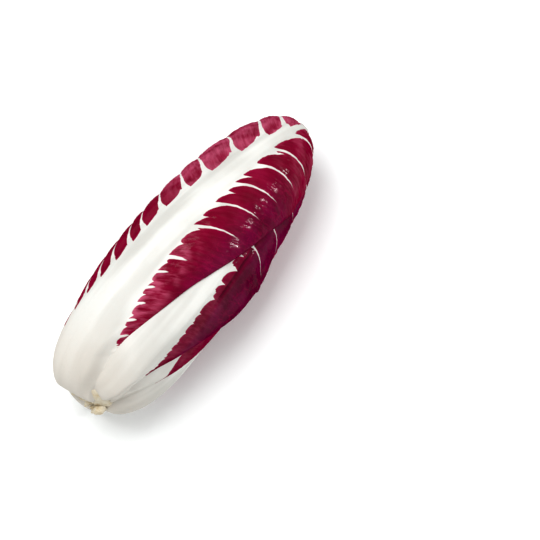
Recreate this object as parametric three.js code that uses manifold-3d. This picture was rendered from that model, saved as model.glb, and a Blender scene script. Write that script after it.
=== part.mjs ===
// A head of long red radicchio, lying on its side as it would on a table.
//
// Every leaf is an arched sheet with a thick white rib down its back. The leaves are shingled round one
// barrel-shaped envelope and attached at a cut stem. Frame: millimetres, +Z up, +X from the cut stem to the
// tip of the head, and the origin at the middle of the small flat spot that the head rests on.
//
// How a leaf finds its place. Points are first laid out on a unit sphere, which headPoint() stretches into
// the envelope at any depth below its surface. Each leaf has its own net on the sphere: "along" is the angle
// from the base to the tip down its spine, "across" the angle round the head from the spine. The depth of a
// leaf at a point is worked out from the leaves that lie over it there, so that the sheets nest and never
// cross.
import * as THREE from "three";
import { mergeVertices } from "three/addons/utils/BufferGeometryUtils.js";
import Module from "manifold-3d";

// ---------------------------------------------------------------- driving dimensions, in millimetres

const BASE_HALF = 93.5; // from the widest girth back to the base of the envelope
const TIP_HALF = 117.5; // from the widest girth forward to its tip
const GIRTH_RADIUS = 39.2; // at the widest girth, without the ribs that stand out of it
const BASE_SQUARENESS = 0.54; // 1 is an ellipse and less is squarer
const TIP_SQUARENESS = 0.92;
const REST_PRESS = 1.4; // how much of the lowest rib the table flattens
const REST_BEHIND = 6.5; // from the middle of the flat spot forward to the widest girth
const WRAP = 1.35; // how far beyond the axis the planes that carry a leaf's cross lines meet, in radii

const BLADE = 0.8; // thickness of a leaf blade
const NEST_GAP = 1.25; // air between one leaf and the next
const SEAM = 0.3; // air between pieces that touch
const RIB_EDGE = 0.6; // thickness of a rib at its sides
const RIB_PROUD = 0.42; // share of a rib's thickness that stands out of the head
const SOFTNESS = 1.2; // of the bend where a leaf comes out from under another
const VEIN_HEIGHT = 0.8; // of the side veins, above the blade
const VEIN_WIDTH = 4.4; // of a side vein where it leaves the rib
const VEIN_SHARES = [0.27, 0.36, 0.45, 0.54, 0.63, 0.72]; // of the leaf's length where side veins start
const VEIN_FORWARD = 0.52; // how far a side vein runs towards the tip for each radian that it goes across
const VEIN_BEND = 0.25; // how quickly it turns back from that
const VEIN_ROOT = 0.8; // where its root lies across the rib, in half widths
const VEIN_REACH = 0.82; // share of the blade that it crosses
const VEIN_TAPER = 0.75; // share of its width that it loses on the way
const VEIN_SINK = 0.4; // share of its height that it loses
const VEIN_END = 0.93; // share of the leaf's length that it never passes
const VEIN_CLEAR = 3; // how far from the leaf that covers it it stops

const STALK_RADIUS = 17; // of the ring of leaf stalks round the stem
const STEM_RADIUS = 10; // of the cut stem
const STEM_CUT = 0.6; // how far the cut face lies inside the envelope's base
const STEM_BEVEL = 0.8; // of the cut face's rim
const STEM_WAIST = 0.6; // radius of the stem inside the head, as a share of the cut face's
const STEM_TOP = 46; // length of the stem inside the head

const RIB_COLUMNS = 4; // steps across a rib
const OUTER_NET = { rows: 16, wing: 5 }; // steps along a leaf, and across its blade beside the rib
const INNER_NET = { rows: 12, wing: 3 };
const HEART_NET = { rows: 9, wing: 3 };
const BLUNT = 0.975; // share of a leaf's length at which its blunt tip is cut off
const BUNCHING = 0.05; // how far a leaf's rows draw together towards its foot and its tip
const RIB_FROM_TIP = 2; // rows at the tip that the rib doesn't reach
const BLADE_FROM = 0.12; // share of a leaf's length at its foot that is stalk alone
const ROOT_SINK = 0.4; // how deep ribs and veins reach into the blade before they are cut to it
const VEIN_STEPS = 4; // along a side vein
const STEM_SIDES = 16;
const CORE_NET = { around: 14, along: 12 };

// The blade's outline. Shares are of the leaf's length.
const WAVE = { size: 0.03, turns: 19, from: 0.25, to: 0.5 }; // waves of its margin, and where they set in
const TIP_FROM = 0.72; // where the blade starts to round in to its tip
const TIP_ROUNDNESS = 2.4; // 2 is an ellipse and more is squarer
const RIB_MARGIN = 1.5; // degrees of blade that is kept on either side of the rib

// How the leaves make room for a rib. Distances across are in the rib's half widths.
const RIB_ARCH = 2.2; // 2 is a parabola and more is flatter on top
const RIB_ROOM_TO = 1.6; // where the room for the rib's sides ends
const RIB_DIP_TO = 2; // where the dip under the rib ends
const RISE_BESIDE = [0.08, 0.01]; // slope and curve of a leaf's rise beside one that lies over it

const RED = { color: 0x7c0a2c, roughness: 0.35, metalness: 0 };
const WHITE = { color: 0xece8df, roughness: 0.4, metalness: 0 };
const CREAM = { color: 0xd8c9a6, roughness: 0.75, metalness: 0 };

// Rib thickness along a leaf, from base to tip.
const RIB_THICKNESS = [6.5, 7.5, 7.0, 5.6, 4.2, 3.2, 2.3, 1.5, 0.9];

// Leaves from the outermost in. Angles are in degrees: at is where the leaf's spine lies round the head
// (0 is +Y, 90 the top and 270 the bottom), from and to are where it starts and ends along the head (0 is
// the base, 180 the tip), and the lists run evenly from its base to its tip: the rib's middle and half
// width, and the reach of the blade to either side.
const OUTER_LEAVES = [
  {
    name: "leaf_under",
    at: 270,
    from: 9,
    to: 160,
    rib: [0, 0, 0, 0, 0, 0, 0, 0, 0],
    ribHalf: [17, 24, 25, 21, 16.5, 12, 8, 5.5, 3.5],
    minus: [17, 24, 32, 47, 58, 66, 72, 72, 64],
    plus: [17, 24, 32, 47, 58, 66, 72, 72, 64],
  },
  {
    name: "leaf_front",
    at: 66,
    from: 9,
    to: 187,
    rib: [-4, -6, -6, -4, 0, 8, 13, 13, 12],
    ribHalf: [20, 29, 29, 23, 18, 12, 7.5, 5, 3.5],
    minus: [24, 36, 52, 73, 88, 96, 98, 92, 80],
    plus: [16, 23, 32, 46, 61, 71, 82, 80, 70],
  },
  {
    name: "leaf_right",
    at: 118,
    from: 9,
    to: 177,
    rib: [5, 4.5, 2, 1.5, 1, 0, 0, 0, 0],
    ribHalf: [9, 15, 18, 17, 14, 10.5, 7, 5, 3.5],
    minus: [4, 11, 20, 40, 60, 72, 80, 78, 70],
    plus: [14, 20, 28, 47, 64, 76, 82, 80, 70],
  },
  {
    name: "leaf_right_low",
    at: 146,
    from: 9,
    to: 172,
    rib: [-2, -2, -1, -5, -6, -6, -5, -4, -3],
    ribHalf: [9, 14, 16, 13.5, 11, 8.5, 6.5, 5, 3.5],
    minus: [11, 16, 20, 38, 56, 68, 76, 74, 66],
    plus: [9, 13, 20, 36, 53, 66, 74, 74, 66],
  },
  {
    name: "leaf_back_low",
    at: 190,
    from: 9,
    to: 168,
    rib: [0, 0, 0, 0, 0, 0, 0, 0, 0],
    ribHalf: [16, 22, 22, 18, 14.5, 11, 7.5, 5, 3.5],
    minus: [16, 23, 30, 45, 62, 74, 80, 78, 70],
    plus: [16, 23, 30, 45, 62, 74, 80, 78, 70],
  },
  {
    name: "leaf_left",
    at: 338,
    from: 9,
    to: 174,
    rib: [0, 0, 0, 0, 0, 0, 0, 0, 0],
    ribHalf: [16, 22, 23, 19, 15, 11, 7.5, 5, 3.5],
    minus: [16, 23, 30, 46, 62, 74, 80, 78, 70],
    plus: [16, 23, 30, 46, 62, 74, 80, 78, 70],
  },
];

// The second ring of leaves, between the outer ones.
const INNER_AT = {
  inner_leaf_1: 230,
  inner_leaf_2: 20,
  inner_leaf_3: 305,
  inner_leaf_4: 92,
  inner_leaf_5: 158,
};
const INNER_SHAPE = {
  from: 26,
  to: 176,
  rib: [0, 0, 0, 0, 0, 0, 0, 0, 0],
  ribHalf: [14, 18, 19, 16, 13, 10, 7, 5, 3.5],
  minus: [15, 21, 30, 46, 60, 70, 76, 74, 66],
  plus: [15, 21, 30, 46, 60, 70, 76, 74, 66],
};
const INNER_DEPTH = 2.5; // how far below the envelope the second ring may rise where nothing covers it
const INNER_RIB_SHARE = 0.55; // rib thickness against an outer leaf's

// The heart: leaves packed round a core, all grown together at the foot.
const HEART_AT = [52, 172, 292];
const HEART_DEPTH = 19;
const HEART_STEP = 1.3; // from the back of one heart leaf to the next
const HEART_CORE_DEPTH = 24;
const HEART_ROOT = 3; // how deep heart leaves reach into the core
const HEART_SHAPE = {
  from: 40,
  to: 172,
  rib: [0, 0, 0, 0, 0, 0, 0, 0, 0],
  ribHalf: [12, 14, 14, 13, 11, 9, 7, 5, 4],
  minus: [20, 34, 46, 56, 62, 66, 68, 66, 60],
  plus: [20, 34, 46, 56, 62, 66, 68, 66, 60],
};

// ---------------------------------------------------------------- the envelope

const { degToRad, smoothstep, clamp } = THREE.MathUtils;
const HEAD_LENGTH = BASE_HALF + TIP_HALF;
const LOWEST_RIB = lerpList(RIB_THICKNESS, 0.5) * RIB_PROUD + RIB_EDGE + SEAM;
const AXIS_HEIGHT = GIRTH_RADIUS + LOWEST_RIB - REST_PRESS; // of the head's axis above the table

// The envelope's radius round the head's axis in direction n of the unit sphere, depth millimetres below
// its surface.
function headRadius(n, depth = 0) {
  const sin = Math.max(Math.hypot(n.y, n.z), 1e-6);
  return (GIRTH_RADIUS - depth) * Math.pow(sin, n.x < 0 ? BASE_SQUARENESS : TIP_SQUARENESS);
}

// The point of the envelope in direction n of the unit sphere, depth millimetres below the surface.
function headPoint(n, depth) {
  const half = n.x < 0 ? BASE_HALF : TIP_HALF;
  const scale = headRadius(n, depth) / Math.max(Math.hypot(n.y, n.z), 1e-6);
  return new THREE.Vector3(REST_BEHIND + (half - depth) * n.x, scale * n.y, AXIS_HEIGHT + scale * n.z);
}

// A smooth curve through evenly spaced values, read at share 0 to 1.
function lerpList(values, share) {
  const at = clamp(share, 0, 1) * (values.length - 1);
  const i = Math.min(Math.floor(at), values.length - 2);
  const t = at - i;
  const [a, b] = [values[i], values[i + 1]];
  const [before, after] = [values[Math.max(i - 1, 0)], values[Math.min(i + 2, values.length - 1)]];
  const [slopeA, slopeB] = [(b - before) / 2, (after - a) / 2];
  return (
    (2 * t ** 3 - 3 * t ** 2 + 1) * a + (t ** 3 - 2 * t ** 2 + t) * slopeA +
    (3 * t ** 2 - 2 * t ** 3) * b + (t ** 3 - t ** 2) * slopeB
  );
}

// The larger of two numbers with the corner between them rounded over about width, never less than either.
function softMax(a, b, width) {
  const near = Math.max(width - Math.abs(a - b), 0) / width;
  return Math.max(a, b) + (near * near * width) / 4;
}

// ---------------------------------------------------------------- one leaf's own net on the sphere

class Leaf {
  constructor(shape, net, { floorDepth = 0, ribShare = 1 } = {}) {
    Object.assign(this, shape, { net, floorDepth, ribShare });
    const angle = degToRad(this.at);
    this.out = new THREE.Vector3(0, Math.cos(angle), Math.sin(angle));
    this.side = new THREE.Vector3(0, -Math.sin(angle), Math.cos(angle));
  }

  // The circle that a cross line lies on, from a point x along the head and out from its axis. Planes
  // through one line beyond the axis carry the cross lines.
  crossLine(x, out) {
    const ray = new THREE.Vector2(x, out + WRAP);
    const distance = ray.length();
    ray.divideScalar(distance);
    const middle = WRAP * ray.y;
    const radius = Math.sqrt(Math.max(middle * middle - WRAP * WRAP + 1, 1e-9));
    return { ray, distance, middle, radius };
  }

  toSphere(along, across) {
    const line = this.crossLine(-Math.cos(along), Math.sin(along));
    const reach = line.middle + line.radius * Math.cos(across);
    return new THREE.Vector3(line.ray.x * reach, 0, 0)
      .addScaledVector(this.out, line.ray.y * reach - WRAP)
      .addScaledVector(this.side, line.radius * Math.sin(across));
  }

  fromSphere(n) {
    const line = this.crossLine(n.x, n.dot(this.out));
    const far = line.middle + line.radius;
    let along = Math.atan2(line.ray.y * far - WRAP, -line.ray.x * far);
    if (along < -Math.PI / 2) along += 2 * Math.PI;
    const across = Math.atan2(n.dot(this.side), line.distance - line.middle);
    const scale = headRadius(n) / Math.hypot(n.y, n.z);
    return { share: this.shareOf(along), across, radius: line.radius, scale };
  }

  shareOf(along) {
    return (along - degToRad(this.from)) / degToRad(this.to - this.from);
  }

  alongAt(share) {
    return degToRad(this.from + share * (this.to - this.from));
  }

  ribMiddle(share) {
    return degToRad(lerpList(this.rib, share));
  }

  ribHalfWidth(share) {
    return degToRad(lerpList(this.ribHalf, share));
  }

  // The blade's two edges at a share of its length, with the rounded tip and the waves of the margin.
  edges(share) {
    const waving = smoothstep(share, WAVE.from, WAVE.to);
    const wave = 1 + WAVE.size * Math.sin(share * WAVE.turns + this.at) * waving;
    const toTip = clamp((share - TIP_FROM) / (1 - TIP_FROM), 0, 1);
    const cap = Math.sqrt(Math.max(1 - toTip ** TIP_ROUNDNESS, 0)) * wave;
    const half = this.ribHalfWidth(share) + degToRad(RIB_MARGIN);
    const middle = this.ribMiddle(share);
    return {
      minus: Math.min(-degToRad(lerpList(this.minus, share)) * cap, middle - half),
      plus: Math.max(degToRad(lerpList(this.plus, share)) * cap, middle + half),
    };
  }

  // Distance from the middle of the rib, as a share of its half width.
  offRib(share, across) {
    return Math.abs(across - this.ribMiddle(share)) / this.ribHalfWidth(share);
  }

  // How far the rib stands out of the head, above its thin sides.
  ribRise(share, across) {
    const arch = 1 - Math.min(this.offRib(share, across), 1) ** RIB_ARCH;
    return lerpList(RIB_THICKNESS, share) * this.ribShare * RIB_PROUD * arch;
  }

  // Room for the rib's thin sides and the seam, easing out beside them.
  ribRoom(share, across) {
    return (RIB_EDGE + SEAM) * (1 - smoothstep(this.offRib(share, across), 1, RIB_ROOM_TO));
  }

  // How far the blade dips under the rib, easing out beside it.
  ribDip(share, across) {
    const off = Math.min(this.offRib(share, across), RIB_DIP_TO);
    const ease = (1 + Math.cos((Math.PI * off) / RIB_DIP_TO)) / 2;
    return lerpList(RIB_THICKNESS, share) * this.ribShare * (1 - RIB_PROUD) * ease;
  }

  // Millimetres from a place to the leaf's outline, 0 on the leaf.
  outside({ share, across, radius, scale }) {
    const { minus, plus } = this.edges(share);
    const beside = Math.max(minus - across, across - plus, 0) * radius;
    const beyond = Math.max(share - 1, -share, 0) * degToRad(this.to - this.from);
    return Math.hypot(beside, beyond) * scale;
  }
}

// How far a leaf may rise again beside the edge of one that lies over it.
function riseBeside(distance) {
  const [slope, curve] = RISE_BESIDE;
  return slope * distance + curve * distance * distance;
}

// The depth of the back of the blade of leaves[index] in direction n, nested under the leaves before it.
function bladeDepth(leaves, index, n) {
  const places = leaves.slice(0, index + 1).map((leaf) => leaf.fromSphere(n));
  const depths = [];
  places.forEach((place, k) => {
    const leaf = leaves[k];
    let depth = leaf.floorDepth;
    for (let over = 0; over < k; over++) {
      const under = depths[over] + BLADE + NEST_GAP - riseBeside(leaves[over].outside(places[over]));
      const rib = leaf.ribRise(place.share, place.across) + leaf.ribRoom(place.share, place.across);
      depth = softMax(depth, under + rib, SOFTNESS);
    }
    depths.push(depth + leaf.ribDip(place.share, place.across));
  });
  return depths[index];
}

function isCovered(leaves, index, n, margin) {
  return leaves.slice(0, index).some((leaf) => leaf.outside(leaf.fromSphere(n)) < margin);
}

// ---------------------------------------------------------------- solids

const wasm = await Module();
wasm.setup();

// A closed sheet between two nets of points, split into triangles alike on both faces.
function sheetGeometry(back, front) {
  const [rows, columns] = [back.length, back[0].length];
  const positions = [...back.flat(), ...front.flat()].flatMap((p) => [p.x, p.y, p.z]);
  const last = columns - 1;
  const at = (face, i, j) => face * rows * columns + i * columns + j;
  const index = [];
  const quad = (a, b, c, d) => index.push(a, b, c, a, c, d);
  for (let i = 0; i + 1 < rows; i++) {
    for (let j = 0; j + 1 < columns; j++) {
      quad(at(0, i, j), at(0, i, j + 1), at(0, i + 1, j + 1), at(0, i + 1, j));
      quad(at(1, i + 1, j + 1), at(1, i, j + 1), at(1, i, j), at(1, i + 1, j));
    }
    quad(at(0, i, 0), at(0, i + 1, 0), at(1, i + 1, 0), at(1, i, 0));
    quad(at(1, i, last), at(1, i + 1, last), at(0, i + 1, last), at(0, i, last));
  }
  for (let j = 0; j + 1 < columns; j++) {
    quad(at(0, 0, j + 1), at(0, 0, j), at(1, 0, j), at(1, 0, j + 1));
    quad(at(0, rows - 1, j), at(0, rows - 1, j + 1), at(1, rows - 1, j + 1), at(1, rows - 1, j));
  }
  const geometry = new THREE.BufferGeometry();
  geometry.setAttribute("position", new THREE.BufferAttribute(new Float32Array(positions), 3));
  geometry.setIndex(index);
  return geometry;
}

// A closed geometry as a manifold solid, turned the right way out if need be.
function solidOf(geometry) {
  const bare = geometry.clone();
  bare.deleteAttribute("normal");
  bare.deleteAttribute("uv");
  const merged = mergeVertices(bare, 1e-4);
  const vertProperties = merged.attributes.position.array;
  const make = (triVerts) => new wasm.Manifold(new wasm.Mesh({ numProp: 3, vertProperties, triVerts }));
  const triangles = new Uint32Array(merged.index.array);
  const made = make(triangles);
  return made.volume() > 0 ? made : make(triangles.slice().reverse());
}

function geometryOf(solid) {
  const { vertProperties, triVerts } = solid.getMesh();
  const geometry = new THREE.BufferGeometry();
  geometry.setAttribute("position", new THREE.BufferAttribute(vertProperties, 3));
  geometry.setIndex(new THREE.BufferAttribute(triVerts, 1));
  return geometry.toNonIndexed();
}

// Bunches evenly spaced shares towards 0 and 1.
function closerAtEnds(share) {
  return share - BUNCHING * Math.sin(2 * Math.PI * share);
}

// Shares of the length at which a leaf has its rows, from one share to another. The last stops short of the
// point, so that the tip is blunt.
function rowShares({ net }, from = 0, rows = net.rows, margin = 0) {
  const shares = Array.from({ length: net.rows + 1 }, (_, i) => BLUNT * closerAtEnds(i / net.rows));
  const kept = shares.slice(0, rows + 1).filter((share) => share >= from);
  const end = kept.length - 1;
  return kept.map((share, i) => share + (margin / HEAD_LENGTH) * ((i === end) - (i === 0)));
}

// Places across the rib, and across the whole blade with the same places under the rib. A margin widens
// them.
function ribPlaces(leaf, share, margin = 0) {
  const [middle, half] = [leaf.ribMiddle(share), leaf.ribHalfWidth(share) + margin / STALK_RADIUS];
  return Array.from({ length: RIB_COLUMNS + 1 }, (_, j) => middle + half * ((2 * j) / RIB_COLUMNS - 1));
}

function bladePlaces(leaf, share, margin = 0) {
  const { minus, plus } = leaf.edges(share);
  const rib = ribPlaces(leaf, share);
  const steps = leaf.net.wing;
  const wing = (from, to) => Array.from({ length: steps }, (_, j) => from + ((to - from) * j) / steps);
  const left = wing(minus - margin / STALK_RADIUS, rib[0]);
  const right = wing(plus + margin / STALK_RADIUS, rib[RIB_COLUMNS]).reverse();
  return [...left, ...rib, ...right];
}

function netOf(leaves, index, shares, placesAt, depthAt) {
  const leaf = leaves[index];
  return shares.map((share) =>
    placesAt(share).map((across) => {
      const n = leaf.toSphere(leaf.alongAt(share), across);
      return headPoint(n, depthAt(bladeDepth(leaves, index, n), share, across));
    }),
  );
}

// A whole leaf as one sheet, its rib raised from it, and grown on both faces by a margin.
function wholeLeafSolid(leaves, index, margin = 0) {
  const leaf = leaves[index];
  const shares = rowShares(leaf, 0, leaf.net.rows, margin);
  const places = (share) => bladePlaces(leaf, share, margin);
  const raised = (depth, share, across) =>
    depth - leaf.ribDip(share, across) - leaf.ribRise(share, across) - margin;
  return solidOf(
    sheetGeometry(
      netOf(leaves, index, shares, places, raised),
      netOf(leaves, index, shares, places, (depth) => depth + BLADE + margin),
    ),
  );
}

// The blade of an outer leaf: the sheet that passes under its rib, from where it first widens. Grown by a
// margin, it is also what the rib is cut to.
function bladeSolid(leaves, index, margin = 0) {
  const leaf = leaves[index];
  const places = (share) => bladePlaces(leaf, share, margin);
  const shares = rowShares(leaf, BLADE_FROM, leaf.net.rows, margin);
  return solidOf(
    sheetGeometry(
      netOf(leaves, index, shares, places, (depth) => depth - margin),
      netOf(leaves, index, shares, places, (depth) => depth + BLADE + margin),
    ),
  );
}

// The rib of an outer leaf, from the stem to near the tip, sunk a little into its blade.
function ribSolid(leaves, index, margin = 0) {
  const leaf = leaves[index];
  const shares = rowShares(leaf, 0, leaf.net.rows - RIB_FROM_TIP, margin);
  const places = (share) => ribPlaces(leaf, share, margin);
  const ribTop = (depth, share, across) =>
    depth - leaf.ribDip(share, across) - leaf.ribRise(share, across) - SEAM - RIB_EDGE - margin;
  return solidOf(
    sheetGeometry(
      netOf(leaves, index, shares, places, ribTop),
      netOf(leaves, index, shares, places, (depth) => depth + ROOT_SINK + margin),
    ),
  );
}

function largestBody(solid) {
  return solid.decompose().reduce((best, body) => (body.volume() > best.volume() ? body : best));
}

// A tapering bar through sections of three corners each, closed at both ends.
function barGeometry(sections) {
  const index = [0, 2, 1];
  for (let i = 0; i + 1 < sections.length; i++) {
    for (let j = 0; j < 3; j++) {
      const [a, b] = [3 * i + j, 3 * i + ((j + 1) % 3)];
      index.push(a, b, b + 3, a, b + 3, a + 3);
    }
  }
  const last = 3 * (sections.length - 1);
  index.push(last, last + 1, last + 2);
  const positions = sections.flat().flatMap((p) => [p.x, p.y, p.z]);
  const geometry = new THREE.BufferGeometry();
  geometry.setAttribute("position", new THREE.BufferAttribute(new Float32Array(positions), 3));
  geometry.setIndex(index);
  return geometry;
}

// One side vein: a tapering bar with three sides that lies on the blade, its root sunk in the rib. It stops
// where another leaf covers it. Returns null where there is no room for it.
function veinSolid(leaves, index, share, side) {
  const leaf = leaves[index];
  const along = leaf.alongAt(share);
  const root = leaf.ribMiddle(share) + side * leaf.ribHalfWidth(share) * VEIN_ROOT;
  const { minus, plus } = leaf.edges(clamp(share + 0.1, 0, 0.9)); // a vein ends further on than it starts
  const reach = VEIN_REACH * Math.abs((side < 0 ? minus : plus) - root);
  const sections = [];
  for (let step = 0; step <= VEIN_STEPS; step++) {
    const t = step / VEIN_STEPS;
    const out = reach * t;
    const place = [along + VEIN_FORWARD * (out - VEIN_BEND * out * out), root + side * out];
    const isPastEnd = leaf.shareOf(place[0]) > VEIN_END;
    if (isPastEnd || isCovered(leaves, index, leaf.toSphere(...place), VEIN_CLEAR)) break;
    const half = ((VEIN_WIDTH / 2) * (1 - VEIN_TAPER * t)) / TIP_HALF;
    const point = (spread, lift) => {
      const m = leaf.toSphere(place[0] + spread, place[1]);
      return headPoint(m, bladeDepth(leaves, index, m) - lift);
    };
    const crest = point(0, SEAM + VEIN_HEIGHT * (1 - VEIN_SINK * t));
    sections.push([point(-half, -ROOT_SINK), point(half, -ROOT_SINK), crest]);
  }
  return sections.length < 3 ? null : solidOf(barGeometry(sections));
}

function ribWithVeins(leaves, index) {
  let solid = ribSolid(leaves, index);
  for (const share of VEIN_SHARES) {
    for (const side of [-1, 1]) {
      const vein = veinSolid(leaves, index, share, side);
      if (vein) solid = solid.add(vein);
    }
  }
  return largestBody(solid.subtract(bladeSolid(leaves, index, SEAM)));
}

// A big block under the table, for pressing the resting leaf flat.
function tableSolid() {
  const block = new THREE.BoxGeometry(4 * TIP_HALF, 4 * GIRTH_RADIUS, GIRTH_RADIUS);
  block.translate(0, 0, -GIRTH_RADIUS / 2);
  return solidOf(block);
}

// The stem: a short round stump with a cut face, tapering inside the head.
function stemSolid() {
  const cut = REST_BEHIND - BASE_HALF + STEM_CUT;
  const profile = [
    [0, cut],
    [STEM_RADIUS - STEM_BEVEL, cut],
    [STEM_RADIUS, cut + STEM_BEVEL],
    [STEM_RADIUS * 0.9, cut + 3],
    [STEM_RADIUS * STEM_WAIST, cut + 9],
    [STEM_RADIUS * STEM_WAIST, cut + 30],
    [STEM_RADIUS * 0.4, cut + STEM_TOP - 3],
    [0, cut + STEM_TOP],
  ];
  const outline = profile.map(([r, x]) => new THREE.Vector2(r, x));
  const lathe = new THREE.LatheGeometry(outline, STEM_SIDES);
  lathe.rotateZ(-Math.PI / 2);
  lathe.translate(0, 0, AXIS_HEIGHT);
  return solidOf(lathe);
}

// The heart: a small core of the same form as the head. The innermost leaves stand out of it, each a step
// lower than the one before it, and are solid down into the core.
function heartSolid() {
  const foot = REST_BEHIND - BASE_HALF + STEM_CUT + STEM_TOP + 1; // the core stops above the stem
  const core = new THREE.SphereGeometry(1, CORE_NET.around, CORE_NET.along);
  core.rotateZ(Math.PI / 2);
  const position = core.getAttribute("position");
  for (let i = 0; i < position.count; i++) {
    const n = new THREE.Vector3().fromBufferAttribute(position, i).normalize();
    const p = headPoint(n, HEART_CORE_DEPTH);
    position.setXYZ(i, Math.max(p.x, foot), p.y, p.z);
  }
  return HEART_AT.reduce((solid, at, i) => {
    const leaf = new Leaf({ ...HEART_SHAPE, at }, HEART_NET);
    const places = (share) => bladePlaces(leaf, share);
    const back = HEART_DEPTH + HEART_STEP * i;
    const outside = (_, share, across) => back - leaf.ribRise(share, across);
    const wedge = sheetGeometry(
      netOf([leaf], 0, rowShares(leaf), places, outside),
      netOf([leaf], 0, rowShares(leaf), places, () => HEART_CORE_DEPTH + HEART_ROOT),
    );
    return solid.add(solidOf(wedge));
  }, solidOf(core));
}

// ---------------------------------------------------------------- the head

const head = new THREE.Group();

function addPiece(name, solid, finish) {
  const mesh = new THREE.Mesh(geometryOf(solid), new THREE.MeshStandardMaterial(finish));
  mesh.name = name;
  head.add(mesh);
}

const outer = OUTER_LEAVES.map((shape) => new Leaf(shape, OUTER_NET));
const inner = Object.entries(INNER_AT).map(([name, at]) => {
  const place = { floorDepth: INNER_DEPTH, ribShare: INNER_RIB_SHARE };
  return new Leaf({ ...INNER_SHAPE, name, at }, INNER_NET, place);
});
const shingled = [...outer, ...inner];

// Where the flat facets of two nested leaves would touch, the inner one gives way.
const keptClear = [tableSolid()];
const cutBack = (solid, other) =>
  solid.intersect(other).volume() > 0 ? largestBody(solid.subtract(other)) : solid;
const clearOf = (solid, others) => others.reduce(cutBack, solid);

shingled.forEach((leaf, index) => {
  if (index < outer.length) {
    addPiece(leaf.name + "_rib", clearOf(ribWithVeins(shingled, index), keptClear), WHITE);
    addPiece(leaf.name + "_blade", clearOf(bladeSolid(shingled, index), keptClear), RED);
    keptClear.push(ribSolid(shingled, index, SEAM), bladeSolid(shingled, index, SEAM));
  } else {
    addPiece(leaf.name, clearOf(wholeLeafSolid(shingled, index), keptClear), RED);
    keptClear.push(wholeLeafSolid(shingled, index, SEAM));
  }
});
addPiece("heart", clearOf(heartSolid(), keptClear), RED);
addPiece("stem", clearOf(stemSolid(), keptClear), CREAM);

export default head;
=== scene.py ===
import enum
import logging
import math
from dataclasses import dataclass, field
from typing import Iterable, Sequence

import bpy
import numpy as np
from mathutils import Matrix, Vector


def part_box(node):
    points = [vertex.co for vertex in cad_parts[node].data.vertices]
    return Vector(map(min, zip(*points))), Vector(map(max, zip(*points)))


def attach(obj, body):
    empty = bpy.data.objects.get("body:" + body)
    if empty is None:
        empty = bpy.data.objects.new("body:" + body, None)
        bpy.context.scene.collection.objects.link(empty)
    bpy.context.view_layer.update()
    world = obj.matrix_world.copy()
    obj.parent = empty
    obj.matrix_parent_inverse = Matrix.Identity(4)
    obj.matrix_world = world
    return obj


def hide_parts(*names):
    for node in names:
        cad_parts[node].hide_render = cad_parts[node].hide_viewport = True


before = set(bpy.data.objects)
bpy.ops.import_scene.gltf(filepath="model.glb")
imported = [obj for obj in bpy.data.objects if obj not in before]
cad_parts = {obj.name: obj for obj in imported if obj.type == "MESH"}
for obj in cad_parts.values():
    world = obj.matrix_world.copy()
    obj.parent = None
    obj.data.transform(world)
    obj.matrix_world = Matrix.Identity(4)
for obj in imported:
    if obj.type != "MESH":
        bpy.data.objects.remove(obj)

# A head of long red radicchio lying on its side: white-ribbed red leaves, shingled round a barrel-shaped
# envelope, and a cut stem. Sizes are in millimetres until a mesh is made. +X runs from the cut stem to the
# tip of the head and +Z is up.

LOG = logging.getLogger("radicchio")
MM = 0.001  # metres in a millimetre
BODY = "root"
LEAF_SKIN = "leaf_skin"
TINY = 1e-6  # keeps a division off nought
TINIER = 1e-9
FULL_TURN = 2.0 * math.pi
Span = tuple[float, float]  # where something starts and where it has ended, or the least and the most
Line = tuple[tuple[float, float], ...]  # places along a leaf and the values there
Colour = tuple[float, float, float, float]


# ---- small sums


def smoothstep(value: np.ndarray, start: float, end: float) -> np.ndarray:
    """Ease from 0 at start to 1 at end."""
    t = np.clip((value - start) / (end - start), 0.0, 1.0)
    return t * t * (3.0 - 2.0 * t)


def soft_max(a: np.ndarray, b: np.ndarray, width: float) -> np.ndarray:
    """Give the larger of two numbers, with the corner between them rounded.

    Args:
        a: One number at each point.
        b: The other.
        width: How far apart the two are when the rounding starts.

    Returns:
        A number that is never less than either.
    """
    near = np.maximum(width - np.abs(a - b), 0.0) / width
    return np.maximum(a, b) + near * near * width / 4.0


def curve_through(values: Sequence[float], share: np.ndarray) -> np.ndarray:
    """Read a smooth curve that runs evenly through a list of values.

    Args:
        values: The values, from share 0 to share 1.
        share: Where to read it.

    Returns:
        The curve's value at each share.
    """
    listed = np.asarray(values, float)
    at = np.clip(share, 0.0, 1.0) * (len(listed) - 1)
    i = np.minimum(at.astype(int), len(listed) - 2)
    t = at - i
    a, b = listed[i], listed[i + 1]
    slope_a = (b - listed[np.maximum(i - 1, 0)]) / 2.0
    slope_b = (listed[np.minimum(i + 2, len(listed) - 1)] - a) / 2.0
    return (
        (2 * t**3 - 3 * t**2 + 1) * a + (t**3 - 2 * t**2 + t) * slope_a
        + (3 * t**2 - 2 * t**3) * b + (t**3 - t**2) * slope_b
    )


def read_line(line: Line, at: np.ndarray) -> np.ndarray:
    """Read the broken line drawn through a list of places and their values."""
    places, values = zip(*line)
    return np.interp(at, places, values)


def off_axis(n: np.ndarray) -> np.ndarray:
    """Give how far directions on the unit sphere lie from its X axis, and never nought."""
    return np.maximum(np.hypot(n[..., 1], n[..., 2]), TINY)


def round_off(share: np.ndarray) -> np.ndarray:
    """Give the height of a quarter circle, from 0 at share 0 to 1 at share 1."""
    return np.sqrt(1.0 - (1.0 - share) ** 2)


# ---- the envelope of the head


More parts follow.
